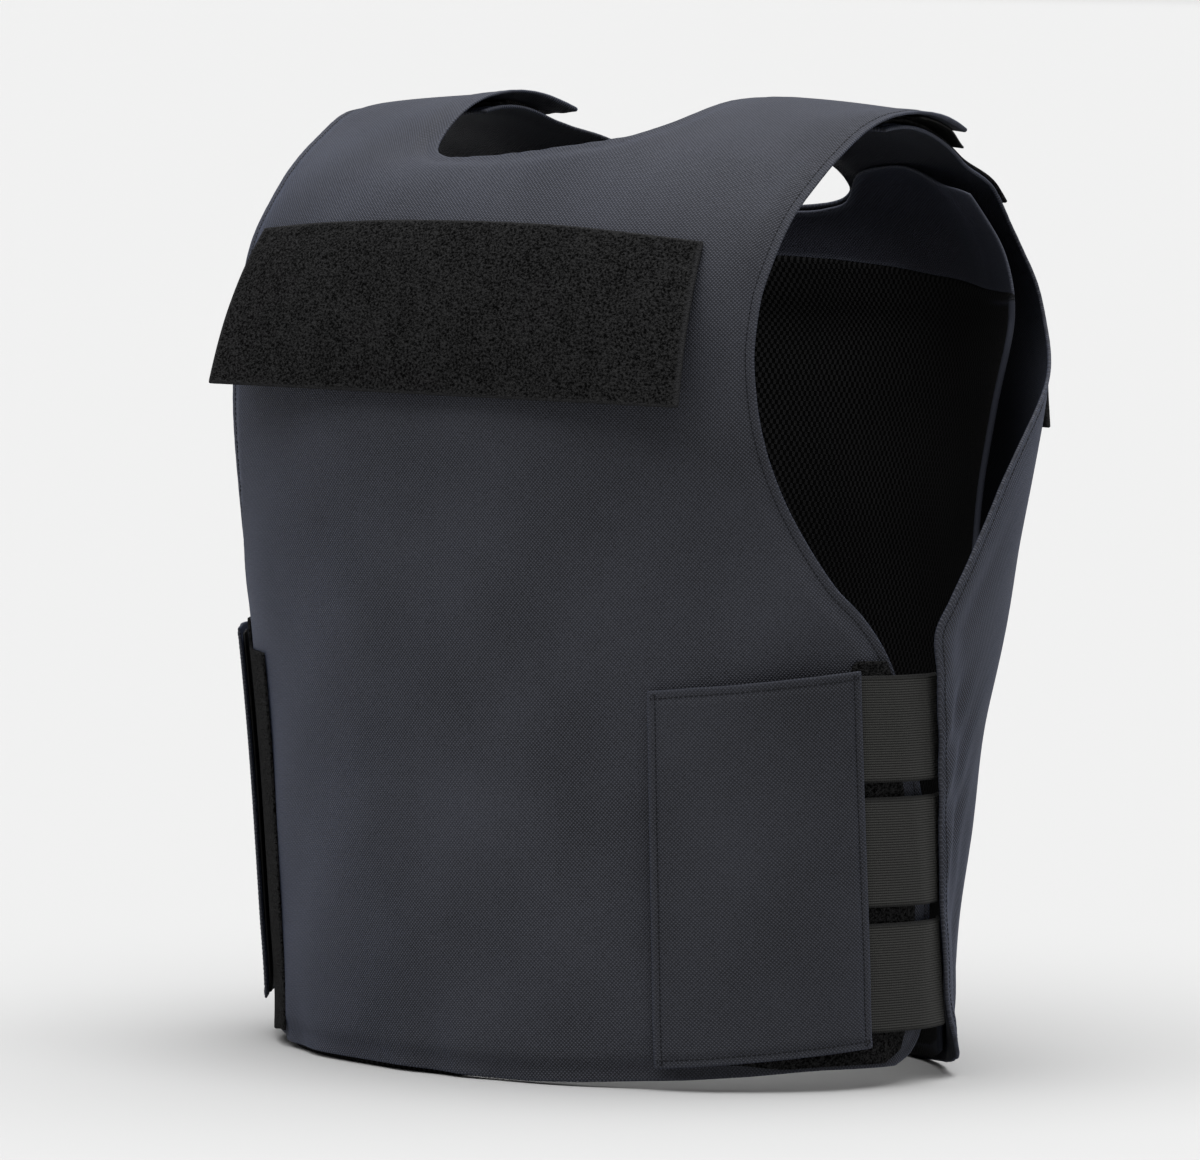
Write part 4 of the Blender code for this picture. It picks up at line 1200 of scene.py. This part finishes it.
def back_inner_wall():
    """Mesh wall inside the back and the cloth yoke above its seam."""
    numbers = row_numbers(np.diff(MESH_ROWS[:, 0]), fine=0.004)
    table = tame(MESH_ROWS, numbers)
    share = spread(101, 0.5) * 2 - 1
    path = np.repeat(table[:, 0:1], len(share), axis=1)
    angle = table[:, 1:2] * share
    path = hemmed(path, back_hem(angle[0] * 1.12, 1.0822))
    seam_angle = YOKE_EDGE[0] * share
    seam = smooth(YOKE_TOP[:, 1:], YOKE_TOP[:, 0], np.abs(seam_angle))[:, 0]
    # The last rows run from the table's end to the seam.
    rows = np.linspace(0.0, 1.0, 8)[1:, None]
    path = np.concatenate([path, path[-1] * (1 - rows) + (seam + SEAM_GAP / 2) * rows])
    angle = np.concatenate([angle, angle[-1] * (1 - rows) + seam_angle * rows])
    wall = on_run(path, angle, liner_lift(path, angle))
    # Only its sides are bound, not the seam and the hem.
    bound = 1 - ease((wall.from_edge(0.02) - BINDING) / 0.0006)
    bound = bound * ease((wall.flat[:, 1] - 0.7145) / 0.003) * ease((1.078 - wall.flat[:, 1]) / 0.004)
    sheet("back_mesh_wall", wall, LINING_THICK, MESH, "back_mesh", "hung", ["back_yoke"],
          marks={"edge": bound})

    climb = np.linspace(0.0, 1.0, 25)
    angle = tame(np.array(YOKE_EDGE)[:, None], climb * 4) * share
    top = smooth(YOKE_TOP[:, 1:], YOKE_TOP[:, 0], np.abs(angle[-1]))[:, 1]
    path = (seam - SEAM_GAP / 2) * (1 - climb[:, None]) + top * climb[:, None]
    yoke = on_run(path, angle, liner_lift(path, angle))
    # Mark of the yoke's edge, where a strong highlight is painted
    edge = 1 - ease((yoke.from_edge(0.01) - 0.0015) / 0.0015)
    sheet("yoke_cloth", yoke, YOKE_THICK, YOKE, "back_yoke", "hung", ["back_panel"],
          marks={"edge": edge})


def corner_grid(corners, across, up):
    """Grid of angles and paths between four corners, at shares of the way."""
    u = np.asarray(across, float)[None, :, None]
    v = np.asarray(up, float)[:, None, None]
    c = np.array(corners)
    top = c[0] * (1 - u) + c[1] * u
    bottom = c[3] * (1 - u) + c[2] * u
    return top * (1 - v) + bottom * v


def flap_cloth(word, wall, rests_on):
    """Cloth of a closure flap, pressed flat and stitched round its edge."""
    thick, edge = puff(
        wall, SIDE_FLAP_THICK, edge_thick=0.0013, roll_width=0.0032, rise=0.003, groove=0.00010)
    sheet(f"{word}_flap_cloth", wall, thick, SHADED_FLAP, "side_flap_" + word, "laid", rests_on,
          marks={"edge": edge})
    stitches(f"{word}_flap_stitches", wall.seam(FLAP_SEAM_INSET))


def flap_hook(word, wall):
    """Hook lining inside a closure flap."""
    sheet(f"{word}_flap_hook", wall, HOOK_THICK, HOOK, "flap_hook_" + word, "laid",
          ["side_flap_" + word])


def left_closure():
    """Closure flap on the wearer's left with its hook lining."""
    grid = corner_grid(LEFT_FLAP, spread(61), spread(85))
    angle, path = grid[..., 0], grid[..., 1]
    flap_cloth("left", on_run(path, angle, left_flap_lift(angle)), ["loop_field_left", "front_panel"])
    inner = corner_grid(LEFT_FLAP, np.linspace(*LEFT_HOOK_ACROSS, 21), np.linspace(*LEFT_HOOK_UP, 31))
    angle, path = inner[..., 0], inner[..., 1]
    flap_hook("left", on_run(path, angle, left_flap_lift(angle) - SIDE_FLAP_THICK - SEAT))


def right_closure():
    """Closure flap on the wearer's right, set further back than the left one."""
    depth = span(RIGHT_FLAP_DEPTH, spread(61)[None, :])
    height = span(RIGHT_FLAP_HEIGHT, spread(85)[:, None])
    wall = on_side(depth, height, right_flap_lift(depth), -1)
    flap_cloth("right", wall, ["loop_field_right", "back_panel"])
    front, back = RIGHT_FLAP_DEPTH[0] + RIGHT_HOOK_INSET, span(RIGHT_FLAP_DEPTH, RIGHT_HOOK_SHARE)
    low, high = RIGHT_FLAP_HEIGHT
    depth = np.linspace(front, back, 8)[None, :]
    height = np.linspace(low + RIGHT_HOOK_INSET, high - RIGHT_HOOK_INSET, 31)[:, None]
    flap_hook("right", on_side(depth, height, right_flap_lift(depth) - SIDE_FLAP_THICK - SEAT, -1))


def loop_field(side):
    """Black loop field on the side of the front panel."""
    word = "left" if side > 0 else "right"
    path = span(LOOP_FIELD_PATH, spread(61))
    # Its lower corner is cut back more on the wearer's right.
    trim = -0.02 if side > 0 else 0.17
    reach = LOOP_FIELD[1] + 0.045 * ease((path - 0.160) / 0.030) - trim * (1 - ease(path / 0.035)) ** 2
    edge = np.interp(path, FRONT_ROWS[:, 2], FRONT_ROWS[:, 3]) * reach
    share = np.linspace(0.0, 1.0, 41)
    angle = LOOP_FIELD[0] + (edge[:, None] - LOOP_FIELD[0]) * share
    climb = (path[:, None] - path[0]) / (path[-1] - path[0])
    raised = 0.0045 * (1 - ease((angle[0] - LOOP_FIELD[0]) / 14.0))
    bottom = hem(side * angle[0]) + 0.0003 + raised
    top = 0.1870 + 0.0128 * ease((angle[-1] - 62.0) / 2.6)
    path = bottom * (1 - climb) + top * climb
    wall = on_run(path, side * angle, LOOP_THICK + FLAT_GAP / 2)
    sheet("loop_side_" + word, wall, LOOP_THICK, LOOP, "loop_field_" + word, "laid",
          ["front_panel"], roll=0.6)


def elastic(side, band_word):
    """Ribbed elastic band from inside the back panel's edge to the flap."""
    word = "left" if side > 0 else "right"
    low, high = (np.array(row) for row in ELASTICS[band_word])
    share = np.linspace(0.0, 1.0, 4 * RIBS + 1)[:, None]
    rows = low * (1 - share) + high * share
    height, front, down, edge, back = (rows[:, k:k + 1] for k in range(5))
    over = BAND_LIFT[0]
    keys = [front, down, (down + edge) / 2, edge, back]
    if side < 0:
        over = RIGHT_BAND_LIFT
        down = np.full_like(down, RIGHT_BAND_END)
        keys = [down, (down + edge) / 2, edge, back]
    spot = np.linspace(0, len(keys) - 1, BAND_COLUMNS)
    k = np.clip(spot.astype(int), 0, len(keys) - 2)
    keys = np.concatenate(keys, axis=1)
    depth = keys[:, k] + (keys[:, k + 1] - keys[:, k]) * (spot - k)
    lift = over + (BAND_LIFT[1] - over) * ease((depth - down) / (edge - down))
    lift = lift + (BAND_LIFT[2] - BAND_LIFT[1]) * np.clip((depth - edge) / (back - edge), 0, 1)
    wall = on_side(depth, height, lift, side)
    climb = (wall.points[:, 2] - wall.points[:, 2].min()) / np.ptp(wall.points[:, 2])
    ribs = np.sqrt(0.5 - 0.5 * np.cos(2 * np.pi * RIBS * climb))
    wall.move(-RIB_DEPTH * (1 - ribs))
    # The mark paints shade in the grooves; it is weaker near the band's top and bottom edges, so the band is darker
    # there
    ribs = ribs * (0.30 + 0.70 * ease(np.minimum(climb, 1 - climb) / 0.035))
    sheet(f"band_{word}_{band_word}", wall, ELASTIC_THICK, ELASTIC, f"elastic_{word}_{band_word}",
          "stretched", ["side_flap_" + word, "back_panel"], marks={"rib": ribs})


def shoulder_pads(side):
    """Hook patch under the front strap's end and loop pad on the back strap."""
    word = "left" if side > 0 else "right"
    path = span(HOOK_PATCH_PATH, np.linspace(0, 1, 19)[:, None])
    path, angle = np.broadcast_arrays(path, span(HOOK_PATCH_ANGLE, spread(31)[None, :]))
    loose_end = 0.0024 * ease((path - 0.588) / 0.018)
    lift = strap_lift(path) - FRONT_THICK + STRAP_THIN - SEAT - loose_end
    sheet("strap_hook_" + word, on_run(path, side * angle, lift), HOOK_THICK, HOOK,
          "shoulder_hook_" + word, "laid", ["front_panel"])
    path = span(LOOP_PAD_PATH, spread(61, 0.5)[:, None])
    path, angle = np.broadcast_arrays(path, span(LOOP_PAD_ANGLE, spread(31)[None, :]))
    lift = back_lift(path, angle) + FLAT_GAP / 2 + PAD_THICK
    sheet("strap_loop_" + word, on_run(path, side * angle, lift), PAD_THICK, LOOP,
          "shoulder_loop_" + word, "laid", ["back_panel"], roll=0.6)


# Stage, light and camera

FLOOR_TONE = (0.388, 0.388, 0.388)
FLOOR_HALF, FLOOR_FAR, SWEEP, WALL_TOP = 30.0, 80.0, 6.0, 14.0
WORLD_STRENGTH = 0.40
LAMP_AWAY = 2.4


def toward(azimuth, elevation):
    """Direction from the vest to a place round it, with both angles in radians."""
    flat = math.cos(elevation)
    return Vector((math.sin(azimuth) * flat, -math.cos(azimuth) * flat, math.sin(elevation)))


def lamp(name, azimuth, elevation, power, wide):
    """A sun as wide as a soft box, with its angles in degrees."""
    spot = toward(math.radians(azimuth), math.radians(elevation))
    data = bpy.data.lights.new(name, "SUN")
    data.energy, data.angle = power, math.radians(wide)
    made = bpy.data.objects.new(name, data)
    made.location = spot * LAMP_AWAY
    made.rotation_euler = spot.to_track_quat("Z", "Y").to_euler()
    bpy.context.scene.collection.objects.link(made)


def studio():
    """Plain pale floor that sweeps up behind the vest, soft lights and the camera."""
    look = Look("pale_floor", Base_Color=(*FLOOR_TONE, 1.0), Roughness=0.9, Specular_IOR_Level=0.0)
    away = -toward(AZIMUTH, 0.0)
    right = Vector((math.cos(AZIMUTH), math.sin(AZIMUTH), 0.0))
    line = [(-FLOOR_HALF, 0.0), (FLOOR_FAR, 0.0)]
    for k in range(1, 17):
        turn = math.pi / 2 * k / 16
        line.append((FLOOR_FAR + SWEEP * math.sin(turn), SWEEP - SWEEP * math.cos(turn)))
    line.append((FLOOR_FAR + SWEEP, WALL_TOP))
    points = []
    for far, up in line:
        for side in (-FLOOR_HALF, FLOOR_HALF):
            points.append(away * far + right * side + Vector((0, 0, up)))
    faces = [(2 * k, 2 * k + 1, 2 * k + 3, 2 * k + 2) for k in range(len(line) - 1)]
    floor = mesh_piece("pale_floor", [tuple(p) for p in points], faces, look.material)
    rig.stage(floor)

    world = bpy.data.worlds.new("studio")
    bpy.context.scene.world = world
    world.use_nodes = True
    world.node_tree.nodes["Background"].inputs["Color"].default_value = (1.0, 1.0, 1.0, 1.0)
    world.node_tree.nodes["Background"].inputs["Strength"].default_value = WORLD_STRENGTH

    lamp("key_above", azimuth=12.0, elevation=72.0, power=3.8, wide=70.0)
    lamp("top_back", azimuth=170.0, elevation=70.0, power=2.4, wide=60.0)

    back = toward(AZIMUTH, ELEVATION)
    up = back.cross(right)
    turned_right = right * math.cos(ROLL) + up * math.sin(ROLL)
    turned_up = up * math.cos(ROLL) - right * math.sin(ROLL)
    spot = TARGET + back * DISTANCE + turned_right * FRAME_STEP[0] + turned_up * FRAME_STEP[1]
    data = bpy.data.cameras.new("camera")
    data.lens, data.sensor_width, data.sensor_fit = LENS, SENSOR, "HORIZONTAL"
    camera = bpy.data.objects.new("camera", data)
    turn = Matrix((turned_right, turned_up, back)).transposed().to_4x4()
    camera.matrix_world = Matrix.Translation(spot) @ turn
    bpy.context.scene.collection.objects.link(camera)
    bpy.context.scene.camera = camera
    bpy.context.scene.view_settings.view_transform = "Standard"


studio()
front_cover()
back_cover()
hung_flap("chest_loop_panel", CHEST_FLAP, "chest_flap")
hung_flap("back_loop_panel", BACK_FLAP, "back_flap")
front_lining()
back_inner_wall()
left_closure()
right_closure()
for side in (1, -1):
    loop_field(side)
    shoulder_pads(side)
    for band_word in ELASTICS:
        elastic(side, band_word)

boxes = {"cad": [list(c) for c in CAD_BOX], "visual": [list(c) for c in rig.bounds()]}
with open("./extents.json", "w") as size_file:
    json.dump(boxes, size_file)
